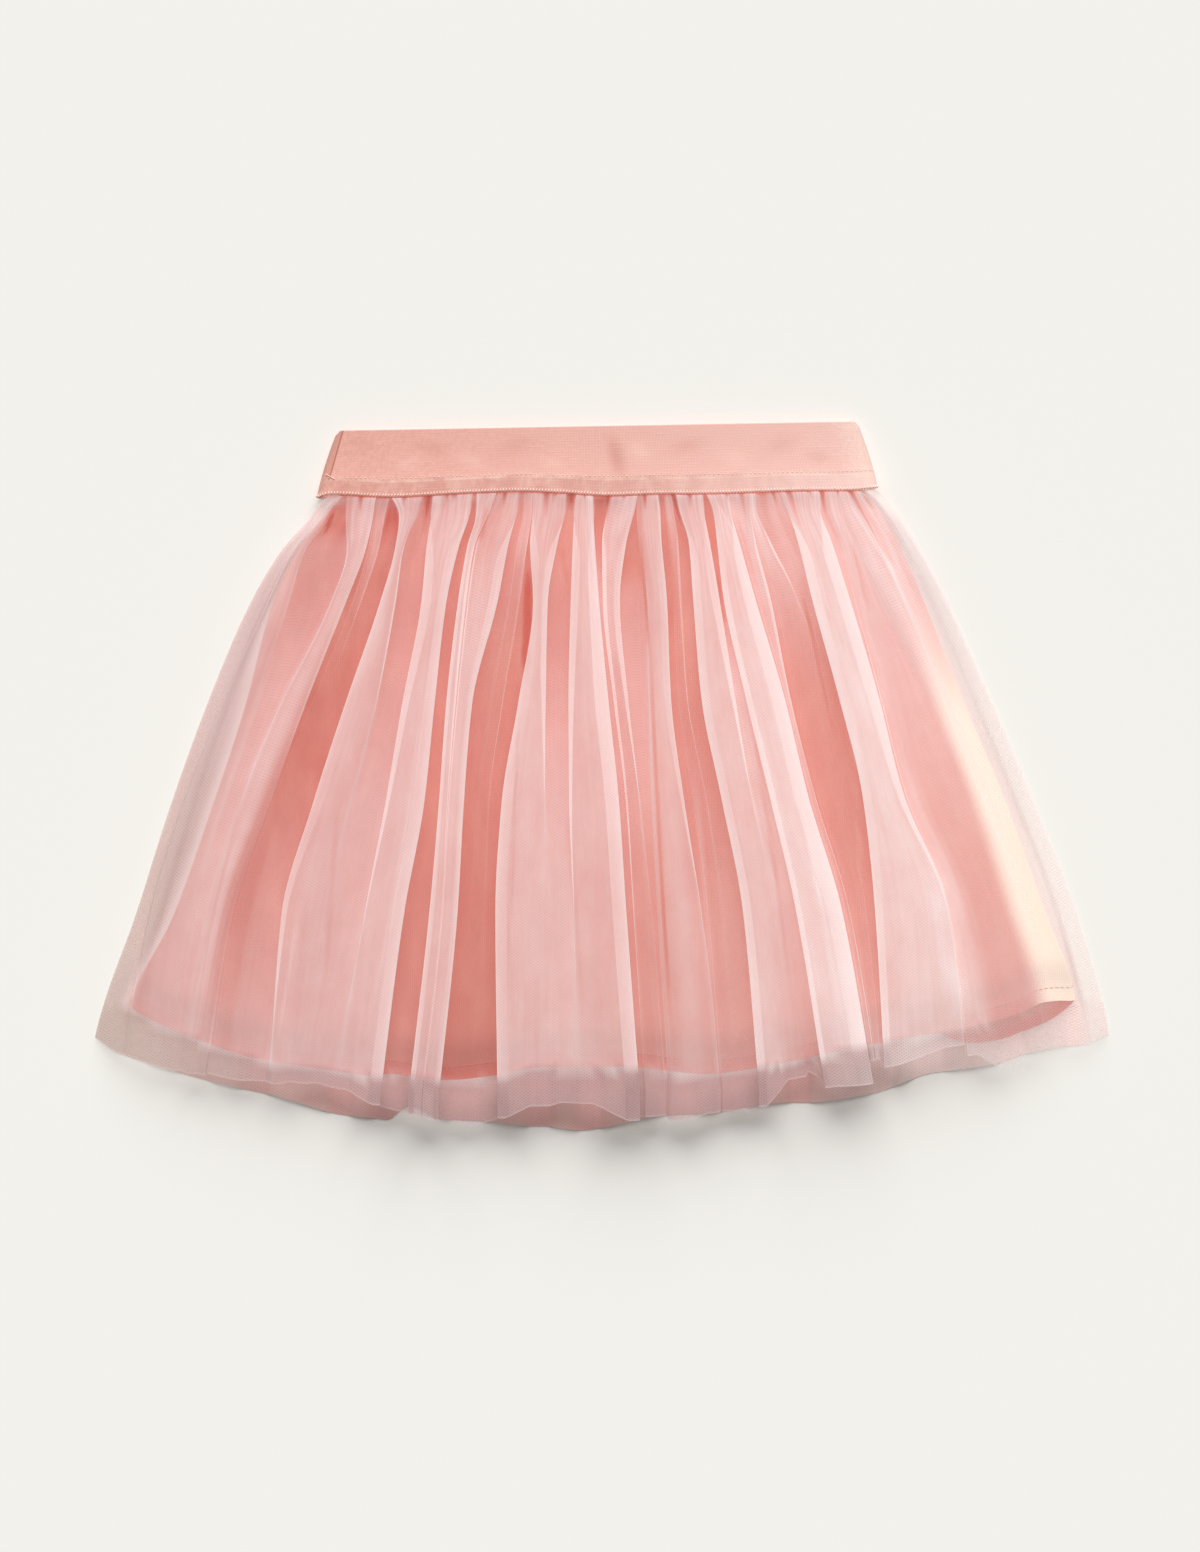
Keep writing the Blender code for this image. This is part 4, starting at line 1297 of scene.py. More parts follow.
@dataclass
class FrontNet:
    """The front panel of the net overskirt, with its folds and gathers."""

    finish: Material
    sag: float = 41.0
    folding: Span = (6.0, 28.0)
    most_lap_share: float = 0.34
    gather_dip: float = 0.45
    gather_ends: float = 45.0
    pinch_share: float = -0.04
    pinch_ends: float = 5.0
    # How far the painted shade of the net's roots reaches below the band, further where the net is thin.
    root_from: float = 0.5
    root_least: float = 0.4
    root_more: float = 2.2
    crest_crown: float = 0.12
    shoulder_to_fold: float = 1.0
    far_rows: int = 44
    side_steps: int = 2
    wide_steps: int = 5
    line_fade: float = 0.3
    line_top: float = -1.0
    line_width: float = 1.6
    root_line_width: float = 1.9
    root_line_taper: float = 1.1
    root_line_fade: float = 0.7
    fully_crisp: float = 0.8
    soft_spread: float = 3.2
    soft_from: float = 70.0
    most_gap_share: float = 0.42
    # The net just under the band is thinned, and where it is thin its threads are painted dark as the shade
    # under the band's edge.
    seam_thin: float = 0.6
    seam_fade: Span = (0.1, 0.8)
    hem_even: float = 0.65
    hem_tone: float = 0.92
    hem_thinner: float = 0.42
    thinner_from: Span = (150.0, 60.0)
    rim_tone: float = 0.12
    rim_fade: Span = (0.3, 0.6)
    rim_solid: float = 0.3
    least_gap: float = 0.2
    shallow_share: float = 0.8
    deep_from: float = 0.05
    deep_range: float = 0.5
    deep_cover: float = 0.45
    level_from: Span = (0.9, 0.5)
    hanging_from: Span = (5.0, 10.0)
    even_normals: float = 0.88
    upright_gain: float = 3.0
    puff: float = 3.0
    puff_at: float = 0.7
    puff_reach: float = 9.0
    gather_veil: float = 0.35
    veil_fade: Span = (0.8, 4.2)
    cut_width: float = 780.0
    cut_length: float = 316.0

    def folded(self, down: Array) -> Array:
        """0 where a fold's sides are open slopes, and 1 where they lie folded under its crest."""
        return ramp(down, *self.folding)

    def edges(self, fold: Fold, down: Array) -> tuple[Array, Array]:
        """Where a fold's crest starts and ends at each level; its corners are pinched in at the seam.

        Args:
            fold: the fold's table row.
            down: how far below the waist seam they are.

        Returns:
            The left and the right edge's x.
        """
        left, right = (smooth_curve(FOLD_LEVELS, side, down) for side in (fold.left, fold.right))
        pinch = self.pinch_share * (right - left) * fade(down, 0.0, self.pinch_ends)
        return left + pinch, right - pinch

    def crispness(self, ends: Ends, down: Array) -> Array:
        """How crisp an edge is at each level, from what it is at the waist and at the hem."""
        return np.maximum(0.0, np.interp(down, (0.0, FORM.hem_down), ends))

    def gap(self, number: int, inwards: float, down: Array) -> Array:
        """How wide the valley beside a fold's edge is.

        Args:
            number: the fold's number, from the left.
            inwards: 1 on the left side and -1 on the right.
            down: how far below the waist seam they are.

        Returns:
            The width, in millimetres.
        """
        left, right = self.edges(FRONT_FOLDS[number], down)
        other = number - 1 if inwards > 0 else number + 1
        if other < 0:
            return left - self.shoulder(1.0, down)[0]
        if other >= len(FRONT_FOLDS):
            return self.shoulder(-1.0, down)[0] - right
        beside = self.edges(FRONT_FOLDS[other], down)
        return np.maximum(self.least_gap, left - beside[1] if inwards > 0 else beside[0] - right)

    def valley_rise(self, number: int, down: Array) -> Array:
        """How high the valley on a fold's right stands; where the net is dense it is hardly a valley.

        Args:
            number: the fold's number, from the left.
            down: how far below the waist seam they are.

        Returns:
            The height over the front floor.
        """
        if not 0 <= number < len(FRONT_FOLDS) - 1:
            return np.zeros_like(down)
        fold, following = FRONT_FOLDS[number], FRONT_FOLDS[number + 1]
        dense = np.clip(smooth_curve(FOLD_LEVELS, fold.valley, down), 0.0, 1.0)
        return self.shallow_share * dense * min(fold.lift, following.lift)

    def side(self, number: int, point: SidePoint, inwards: float, down: Array) -> tuple[Array, Array]:
        """Where one point of a fold's side is.

        Args:
            number: the fold's number, from the left.
            point: the point on the way up to the crest.
            inwards: 1 on the left side and -1 on the right.
            down: how far below the waist seam they are.

        Returns:
            The places x and z at those levels.
        """
        fold = FRONT_FOLDS[number]
        left, right = self.edges(fold, down)
        on_left = inwards > 0
        lap = np.minimum(fold.laps[0 if on_left else 1], self.most_lap_share * (right - left))
        ends = fold.crisp_left if on_left else fold.crisp_right
        crisp = np.minimum(1.0, self.crispness(ends, down) / self.fully_crisp)
        folded = self.folded(down) * crisp
        spread = 1.0 + self.soft_spread * (1.0 - crisp) * ease(down / self.soft_from)
        out = np.minimum(point.open_out * spread, self.most_gap_share * self.gap(number, inwards, down))
        under = folded * point.lap_share * lap - (1.0 - folded) * out
        x = (left if on_left else right) + inwards * (under + point.crest_share * (right - left))
        base = self.valley_rise(number - 1 if on_left else number, down)
        rise = folded * point.folded_rise + (1.0 - folded) * point.open_rise
        lift = (base + rise * (fold.lift - base)) * FORM.layer("lift_share", down)
        return x, FORM.front_floor(x, down) + lift

    def crest(self, fold: Fold, down: Array) -> tuple[Array, Array]:
        """Where the middle of a fold's crest is.

        Args:
            fold: the fold's table row.
            down: how far below the waist seam they are.

        Returns:
            The places x and z at those levels.
        """
        left, right = self.edges(fold, down)
        x = (left + right) / 2.0
        dip = self.gather_dip * fade(down, 0.0, self.gather_ends)
        lift = fold.lift * FORM.layer("lift_share", down)
        return x, FORM.front_floor(x, down) + lift * (1.0 + self.crest_crown * self.folded(down) - dip)

    def valley(self, number: int, down: Array) -> tuple[Array, Array]:
        """Where the middle of the valley on a fold's right is.

        Args:
            number: the fold's number, from the left.
            down: how far below the waist seam they are.

        Returns:
            The places x and z at those levels.
        """
        before, after = (self.edges(FRONT_FOLDS[k], down) for k in (number, number + 1))
        x = (before[1] + after[0]) / 2.0
        lift = self.valley_rise(number, down) * FORM.layer("lift_share", down)
        return x, FORM.front_floor(x, down) + lift

    def shoulder(self, inwards: float, down: Array) -> tuple[Array, Array]:
        """Where the net comes up over the lining's side.

        Args:
            inwards: 1 on the left side and -1 on the right.
            down: how far below the waist seam they are.

        Returns:
            The places x and z at those levels.
        """
        clear = FOLD_SIDE[0].open_out + self.shoulder_to_fold
        if inwards > 0:
            beside = FORM.edge("jersey_left", down) - FORM.lining_margin
            x = np.minimum(beside, self.edges(FRONT_FOLDS[0], down)[0] - clear)
        else:
            beside = FORM.edge("jersey_right", down) + FORM.lining_margin
            x = np.maximum(beside, self.edges(FRONT_FOLDS[-1], down)[1] + clear)
        return x, FORM.front_floor(x, down)

    def side_edge(self, name: str, down: Array) -> tuple[Array, Array]:
        """Where one of the net's side edges is."""
        x = FORM.edge(name, down)
        return x, FORM.front_floor(x, down)

    def column(self, given: Given) -> Array:
        """One given column, from inside the band to the hem: rows of x, y, z and tone.

        Args:
            given: what the tables say of the column.

        Returns:
            An array (rows, 4).
        """
        hem = FORM.net_arc(given.place(np.array([FORM.hem_down]))[0], self.sag) + given.drop
        down = column_levels(NetNear.FRONT.value, self.far_rows, hem)[0]
        x, z = given.place(down)
        return np.stack([x, FORM.waist(x) - down, z, smooth_curve(FOLD_LEVELS, given.tone, down)], axis=1)

    def side_columns(self, number: int, inwards: float, valley: Array) -> list[Given]:
        """The given columns of one side of a fold, from left to right.

        Args:
            number: the fold's number, from the left.
            inwards: 1 on the left side and -1 on the right.
            valley: the tone beside it, at the fold levels.

        Returns:
            The columns.
        """
        fold, on_left = FRONT_FOLDS[number], inwards > 0
        ends, drop = (fold.crisp_left, fold.drops[0]) if on_left else (fold.crisp_right, fold.drops[1])
        crest, crisp = np.array(fold.crest), self.crispness(ends, np.array(FOLD_LEVELS))
        made = []
        for point in FOLD_SIDE if on_left else FOLD_SIDE[::-1]:
            share = point.soft_tone + crisp * (point.crisp_tone - point.soft_tone)
            place = partial(self.side, number, point, inwards)
            made.append(Given(place, drop, valley + share * (crest - valley), self.side_steps))
        made[-1] = made[-1]._replace(parts=self.wide_steps)
        return made

    def given_columns(self) -> list[Given]:
        """The columns that the tables give, from left to right.

        Returns:
            The columns.
        """
        wide, before = self.wide_steps, np.array(LEFT_TONE)
        made = [
            Given(partial(self.side_edge, "net_left"), CORNER_DROPS[0], LEFT_TONE, wide),
            Given(partial(self.shoulder, 1.0), SHOULDER_DROPS[0], LEFT_TONE, wide),
        ]
        for number, fold in enumerate(FRONT_FOLDS):
            after = np.array(fold.valley)
            drop = (fold.drops[0] + fold.drops[1]) / 2.0
            made += self.side_columns(number, 1.0, before)
            made.append(Given(partial(self.crest, fold), drop, fold.crest, wide))
            made += self.side_columns(number, -1.0, after)
            if number + 1 < len(FRONT_FOLDS):
                made.append(Given(partial(self.valley, number), fold.drops[2], after, wide))
            before = after
        made.append(Given(partial(self.shoulder, -1.0), SHOULDER_DROPS[1], RIGHT_TONE, wide))
        made.append(Given(partial(self.side_edge, "net_right"), CORNER_DROPS[1], RIGHT_TONE, wide))
        return made

    def ridge(self, line: Line, x: Array, down: Array) -> Array:
        """How strong a narrow line is at each point; one that starts at the seam tapers.

        Args:
            line: the line's table row.
            x: places across the skirt.
            down: how far below the waist seam they are.

        Returns:
            A share at each place, from 0 to 1.
        """
        rooted = line.start_down <= 0.0
        share = (down - line.start_down) / (line.end_down - line.start_down)
        middle = line.start_x + share * (line.end_x - line.start_x) + line.bow * 4.0 * share * (1.0 - share)
        starts = 1.0 if rooted else ease(share / self.line_fade)
        ends = 1.0 - ease((share - 1.0 + self.line_fade) / self.line_fade)
        along = starts * ends * (down > self.line_top)
        taper = self.line_width
        if rooted:
            along = along * (1.0 - self.root_line_fade * ease(share))
            taper = self.root_line_width - self.root_line_taper * np.clip(share, 0.0, 1.0)
        return bump((x - middle) / (taper * line.half_width)) * along

    def build(self) -> Piece:
        """Makes the panel.

        Returns:
            The panel's object.
        """
        given = self.given_columns()
        columns = np.stack([self.column(column) for column in given])
        grid = smooth_between(columns, [column.parts for column in given[:-1]])
        points, tone = grid[:, :, :3].copy(), grid[:, :, 3]
        x = points[:, :, 0].copy()
        down = FORM.waist(x) - points[:, :, 1]
        below_band, above_hem = down - band_edge(x), down[:, -1:] - down
        tone = tone + fade(down, *self.veil_fade) * np.maximum(0.0, self.gather_veil - tone)
        fall = fade(below_band, self.puff_at, self.puff_reach)
        points[:, :, 2] += self.puff * ease(below_band / self.puff_at) * fall
        for line in FRONT_LINES:
            ridge = self.ridge(line, x, down)
            points[:, :, 2] += line.rise * ridge
            tone = tone + line.tone * ridge
        # The net's roots just under the band are painted coral as shade, further down where the net is
        # thin.
        reach = self.root_least + self.root_more * (1.0 - np.clip(tone, 0.0, 1.0))
        root = fade(below_band, self.root_from, reach)
        rim = fade(above_hem, *self.rim_fade)
        hem_tone = self.hem_tone - self.hem_thinner * ramp(x, *self.thinner_from)
        tone = tone + self.hem_even * FORM.below_lining(x, down) * (hem_tone - tone)
        tone = tone + self.rim_tone * rim
        # Just under the band the net is thinned, so that a line of painted shade runs along the band's edge
        # where the net is thin.
        tone = tone - self.seam_thin * fade(below_band, *self.seam_fade)
        # Where the tone is below 0, in pinches and under the band, the threads are painted dark as shade.
        deep = np.clip((-tone - self.deep_from) / self.deep_range, 0.0, 1.0)
        level = slope_of(points)
        upright = ease((self.level_from[0] - level) / self.level_from[1])
        cover = NetCover().leaning(NetCover().of(tone), level)
        cover = np.maximum(cover, self.deep_cover * deep)
        across = across_cloth(points, -self.far_rows // 3, self.cut_width)
        hanging = FORM.hanging(x, down) * (1.0 - self.rim_solid * rim)
        hanging = hanging * ramp(below_band, *self.hanging_from)
        values = {"veil": cover, "hanging": hanging, "deep": deep, "root": root, "upright": upright}
        cloth = ClothGrid("net_front_panel", points, np.stack([across, down], axis=2), values=values)
        piece = cloth.to_object(self.finish)
        blend_normals(piece, self.even_normals, self.upright_normals)
        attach(piece, "root")
        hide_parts("net_front")
        return piece

    def upright_normals(self, normals: Array) -> Array:
        """Normals that face straight up or down."""
        upwards = np.clip(normals[:, 2:] * self.upright_gain, -1.0, 1.0)
        return upwards * np.array([0.0, 0.0, 1.0])


# ---------------------------------------------------------------- the back net
BACK_FOLDS = 15


# How much lower than its plain arc the back net's hem is.
BACK_HEM_STEPS = tuple(Stop(*row) for row in (
    (-244, 0), (-192, -1.5), (-154, -1.5), (-125, 2.5), (-98, 2), (-95, -6), (-82, -6), (-78, -0.5),
    (-53, -0.5), (-50, -7), (-45.5, -7), (-42, 1), (-28, 1), (-10, 3), (6, 1), (18, -1), (26, -3), (60, -3),
    (79, -5), (105, -2.2), (129, -2), (158, -6.3), (185, -5.4), (214, -8), (229, -3.5), (244, 0.5),
))


@dataclass
class BackNet:
    """The back panel of the net: its folds' crests lie on the floor and its valleys carry the lining."""

    finish: Material
    sag: float = 46.0
    crest_share: float = 0.56
    crest_change: float = 0.24
    crest_turn: float = 1.7
    slope_share: float = 0.24
    wander: float = 0.16
    wander_turn: float = 2.4
    wander_start: float = 0.7
    gather_dip: float = 0.45
    gather_ends: float = 45.0
    floor_gap: float = 0.25
    hem_flatness: float = 0.85
    hem_fade: float = 45.0
    valley_lift: float = 0.5
    tone: float = 1.15
    crest_tone: float = 0.25
    right_wash: float = 0.9
    wash_from: float = 30.0
    far_rows: int = 34
    steps: int = 6
    cut_width: float = 520.0
    cut_length: float = 312.0

    def shares(self, number: int) -> tuple[float, float]:
        """Where a back fold's crest starts and ends, as shares of the width.

        Args:
            number: the fold's number, from the left.

        Returns:
            The two shares.
        """
        wander = self.wander * math.sin(self.wander_turn * number + self.wander_start)
        middle = (number + 0.5 + wander) / BACK_FOLDS
        change = self.crest_change * math.sin(self.crest_turn * number)
        half = 0.5 * (1.0 + change) * self.crest_share / BACK_FOLDS
        return middle - half, middle + half

    def column(self, share: float, outer: float, outer_at_waist: float) -> Array:
        """One given column; a crest rests on the floor.

        Args:
            share: how far across the net it lies.
            outer: 1 on a crest and 0 in a valley.
            outer_at_waist: the same at the waist.

        Returns:
            An array (rows, 4) of x, y, z and tone.
        """
        hem_x = np.array([-FORM.net_half_hem + 2.0 * FORM.net_half_hem * share])
        arc = FORM.net_arc(hem_x, self.sag)
        drop = table_curve(BACK_HEM_STEPS, "value", hem_x)
        down = column_levels(NetNear.BACK.value, self.far_rows, arc + drop)[0]
        left = FORM.edge("net_left", down)
        x = left + share * (FORM.edge("net_right", down) - left)
        low = FORM.layer("back_outer", down) + self.floor_gap
        flatter = 1.0 - self.hem_flatness * ease((down - arc[0] + self.hem_fade) / self.hem_fade)
        height = FORM.layer("back_inner", down) - low + self.valley_lift
        high = low + height * FORM.side_ease(x, down) * flatter
        here = outer_at_waist + (outer - outer_at_waist) * ease(down / self.gather_ends)
        z = high + here * (low - high)
        beyond = ease((x - FORM.edge("jersey_right", down)) / FORM.side_blur)
        tone = self.tone + self.crest_tone * here - self.right_wash * beyond * ease(down / self.wash_from)
        return np.stack([x, FORM.waist(x) - down, z, tone], axis=1)

    def build(self) -> Piece:
        """Makes the panel.

        Returns:
            The panel's object.
        """
        given = [(0.0, 1.0, 1.0)]
        for number in range(BACK_FOLDS):
            start, end = self.shares(number)
            slope = self.slope_share * (end - start)
            given += [(start, 0.0, 0.0), (start + slope, 1.0, 1.0)]
            given.append(((start + end) / 2.0, 1.0, 1.0 - self.gather_dip))
            given += [(end - slope, 1.0, 1.0), (end, 0.0, 0.0)]
        columns = [self.column(*column) for column in (*given, (1.0, 1.0, 1.0))]
        grid = smooth_between(np.stack(columns), [self.steps] * (len(columns) - 1))[::-1]
        points = grid[:, :, :3].copy()
        points[:, :, 2] = np.maximum(points[:, :, 2], self.floor_gap)
        down = FORM.waist(points[:, :, 0]) - points[:, :, 1]
        cover = NetCover().leaning(NetCover().of(grid[:, :, 3]), slope_of(points))
        across = across_cloth(points, -self.far_rows // 3, self.cut_width)
        values = {"veil": cover, "hanging": FORM.hanging(points[:, :, 0], down)}
        cloth = ClothGrid("net_back_panel", points, np.stack([across, down], axis=2), values=values)
        piece = cloth.to_object(self.finish)
        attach(piece, "root")
        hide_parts("net_back")
        return piece


# ---------------------------------------------------------------- the lining
class Crease(NamedTuple):
    """A soft ridge or trough of the lining, from the waist down."""

    at: float  # its place across the lining, 0 at the left and 1 at the right
    half_width: float  # a share of the lining's width
    height: float
    ends: float


FRONT_LINING_CREASES = tuple(Crease(*row) for row in (
    (0.05, 0.018, 0.5, 90), (0.1, 0.014, -0.5, 70), (0.15, 0.018, 0.5, 130), (0.2, 0.015, -0.6, 90),
    (0.26, 0.018, 0.5, 80), (0.31, 0.016, -0.5, 140), (0.37, 0.018, 0.5, 100), (0.43, 0.016, -0.6, 90),
    (0.48, 0.015, 0.4, 70), (0.53, 0.017, -0.6, 120), (0.59, 0.015, 0.5, 80), (0.64, 0.017, -0.6, 100),
    (0.7, 0.016, 0.5, 110), (0.75, 0.015, -0.7, 150), (0.8, 0.017, 0.5, 90), (0.86, 0.016, -0.6, 110),
    (0.92, 0.018, 0.5, 130),
))


class HemDip(NamedTuple):
    """How much lower than the plain arc a hem is, and how far it curls up, at a share of its width."""

    share: float
    drop: float
    curl: float


FRONT_HEM_DIPS = tuple(HemDip(*row) for row in (
    (0, 1, 0), (0.07, 3.5, 0), (0.14, 6.3, 0), (0.2, 6.5, 0), (0.255, 7, 0.6), (0.285, 5, 0.3),
    (0.33, 6, 0), (0.39, 2.5, 0), (0.44, -2, 0.9), (0.52, -2, 0.5), (0.62, 4, 0), (0.68, 2, 0.2),
    (0.77, -1.2, 0.4), (0.86, -1.3, 0.5), (0.9, -2.5, 0.7), (0.94, -4.2, 0.9), (0.963, -5.8, 0.9),
    (0.98, -4, 0.8), (1, 0.8, 0.6),
))

BACK_HEM_DIPS = tuple(HemDip(*row) for row in (
    (0, 0, 0), (0.3, -1, 0), (0.44, -6, 0), (0.6, -3, 0), (0.8, -5, 0), (0.84, -4, 0), (0.872, 3.9, 0),
    (0.893, 6.2, 0), (0.917, 6.5, 0), (0.94, 5, 0), (0.964, 4, 0), (0.983, 2.3, 0), (1, 0.6, 0),
))


@dataclass
class LiningPanel:
    """One panel of the jersey lining, with its double-turned hem."""

    node: str
    finish: Material
    creases: tuple[Crease, ...]
    dips: tuple[HemDip, ...]
    waved: bool
    rests_on: str
    hem_depth: float = 6.5
    hem_blur: float = 1.2
    curl_reach: float = 16.0
    crease_starts: float = 6.0
    # Where the painted glow of light on the front lining's right edge starts, across and down.
    painted_glow_span: Span = (0.95, 0.024)
    painted_glow_down: Span = (40.0, 80.0)
    thread_out: float = 0.36  # how far outside the cloth's middle the hem's thread lies
    turnings: float = 20.0
    area_share: float = 0.80
    wall: float = 0.45
    hem_wall: float = 0.8
    hem_fall: float = 2.6
    fall_reach: float = 20.0
    columns: int = 190
    edge_shares: Sequence[float] = (0.0007, 0.002)
    far_rows: int = 52
    lift: float = 0.3
    points: Array | None = None

    def build(self) -> Piece:
        """Makes the panel.

        Returns:
            The panel's object.
        """
        edge = np.array(self.edge_shares)
        inner = np.linspace(0.0, 1.0, self.columns)[1:-1]
        share = np.concatenate([[0.0], edge, inner, 1.0 - edge[::-1], [1.0]])
        hem_x = -FORM.jersey_half_hem + 2.0 * FORM.jersey_half_hem * share
        hem = FORM.jersey_arc(hem_x) + table_curve(self.dips, "drop", share)
        curls = table_curve(self.dips, "curl", share)[:, None]
        down = column_levels(NetNear.BACK.value, self.far_rows, hem)
        share = share[:, None]
        left = FORM.edge("jersey_left", down)
        x = left + share * (FORM.edge("jersey_right", down) - left)
        z = FORM.layer(self.node, down) + self.lift
        if self.waved:
            z = z + FORM.jersey_wave(x, down)
        for crease in self.creases:
            ridge = bump((share - crease.at) / crease.half_width)
            z = z + crease.height * ridge * ease(down / self.crease_starts) * fade(down, 0.0, crease.ends)
        above_hem = down[:, -1:] - down
        z = z + curls * fade(above_hem, 0.0, self.curl_reach)
        z = z - self.hem_fall * fade(above_hem, 0.0, self.fall_reach)
        self.points = np.stack([x, FORM.waist(x) - down, z], axis=2)
        # The front lining's right edge is painted cream, as light from the right falls on it.
        painted_glow = np.zeros_like(down)
        if self.waved:
            painted_glow = painted_glow + ramp(share, *self.painted_glow_span) * ramp(down, *self.painted_glow_down)
        turned = fade(above_hem, self.hem_depth, self.hem_blur)
        values = {"painted_glow": painted_glow, "turned": turned}
        cloth = ClothGrid(f"{self.node}_panel", self.points, np.stack([x, down], axis=2), values=values)
        piece = cloth.to_object(self.finish)
        least = self.wall / self.hem_wall
        add_thickness_group(piece, least + (1.0 - least) * turned)
        give_shell(piece, self.hem_wall, 0.0)
        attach(piece, "root")
        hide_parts(self.node)
        return piece

    def hem_line(self) -> Array:
        """The line along which the hem is sewn, once the panel is built.

        Returns:
            An array (points, 3).
        """
        down = FORM.waist(self.points[:, :, 0]) - self.points[:, :, 1]
        line = np.array([
            [np.interp(levels[-1] - self.hem_depth, levels, column[:, axis]) for axis in range(3)]
            for column, levels in zip(self.points, down)
        ])
        line[:, 2] += self.thread_out if self.waved else -self.thread_out
        return line

    def declare(self, piece: Piece, hem: Piece) -> None:
        """Does nothing.

        Args:
            piece: not used.
            hem: not used.
        """


# ---------------------------------------------------------------- the waistband
# How thick the flattened ring is, at a distance up from its seam.
BAND_RINGS = tuple(Stop(*row) for row in (
    (0, 9.4), (1.5, 9.8), (3, 9.7), (6, 9.5), (8.6, 9.3), (10.5, 8.5), (14, 7.4), (22, 6), (32, 5.2),
))


class BandDent(NamedTuple):
    """A soft slanting dent in the front of the band, or a swell where its depth is below 0."""

    at: float
    up: float
    half_width: float
    half_height: float
    lean: float  # how far it moves to the right as it goes up
    depth: float


BAND_DENTS = tuple(BandDent(*row) for row in (
    (-113, 24, 9, 7, -0.4, 0.22), (-92, 15, 10, 6, 0.6, -0.22), (-80, 22, 12, 7, -0.5, 0.3),
    (-61, 16, 10, 6, -0.8, -0.22), (-40, 22, 13, 8, 0.7, 0.26), (-22, 14, 9, 5, -0.5, -0.22),
    (9, 17, 6, 15, -0.25, 0.6), (20, 19, 8, 8, -0.4, -0.26), (43, 21, 13, 7, 0.6, 0.26),
    (66, 15, 11, 6, -0.7, -0.22), (88, 21, 12, 8, 0.5, 0.22), (106, 15, 9, 6, -0.4, 0.22),
))


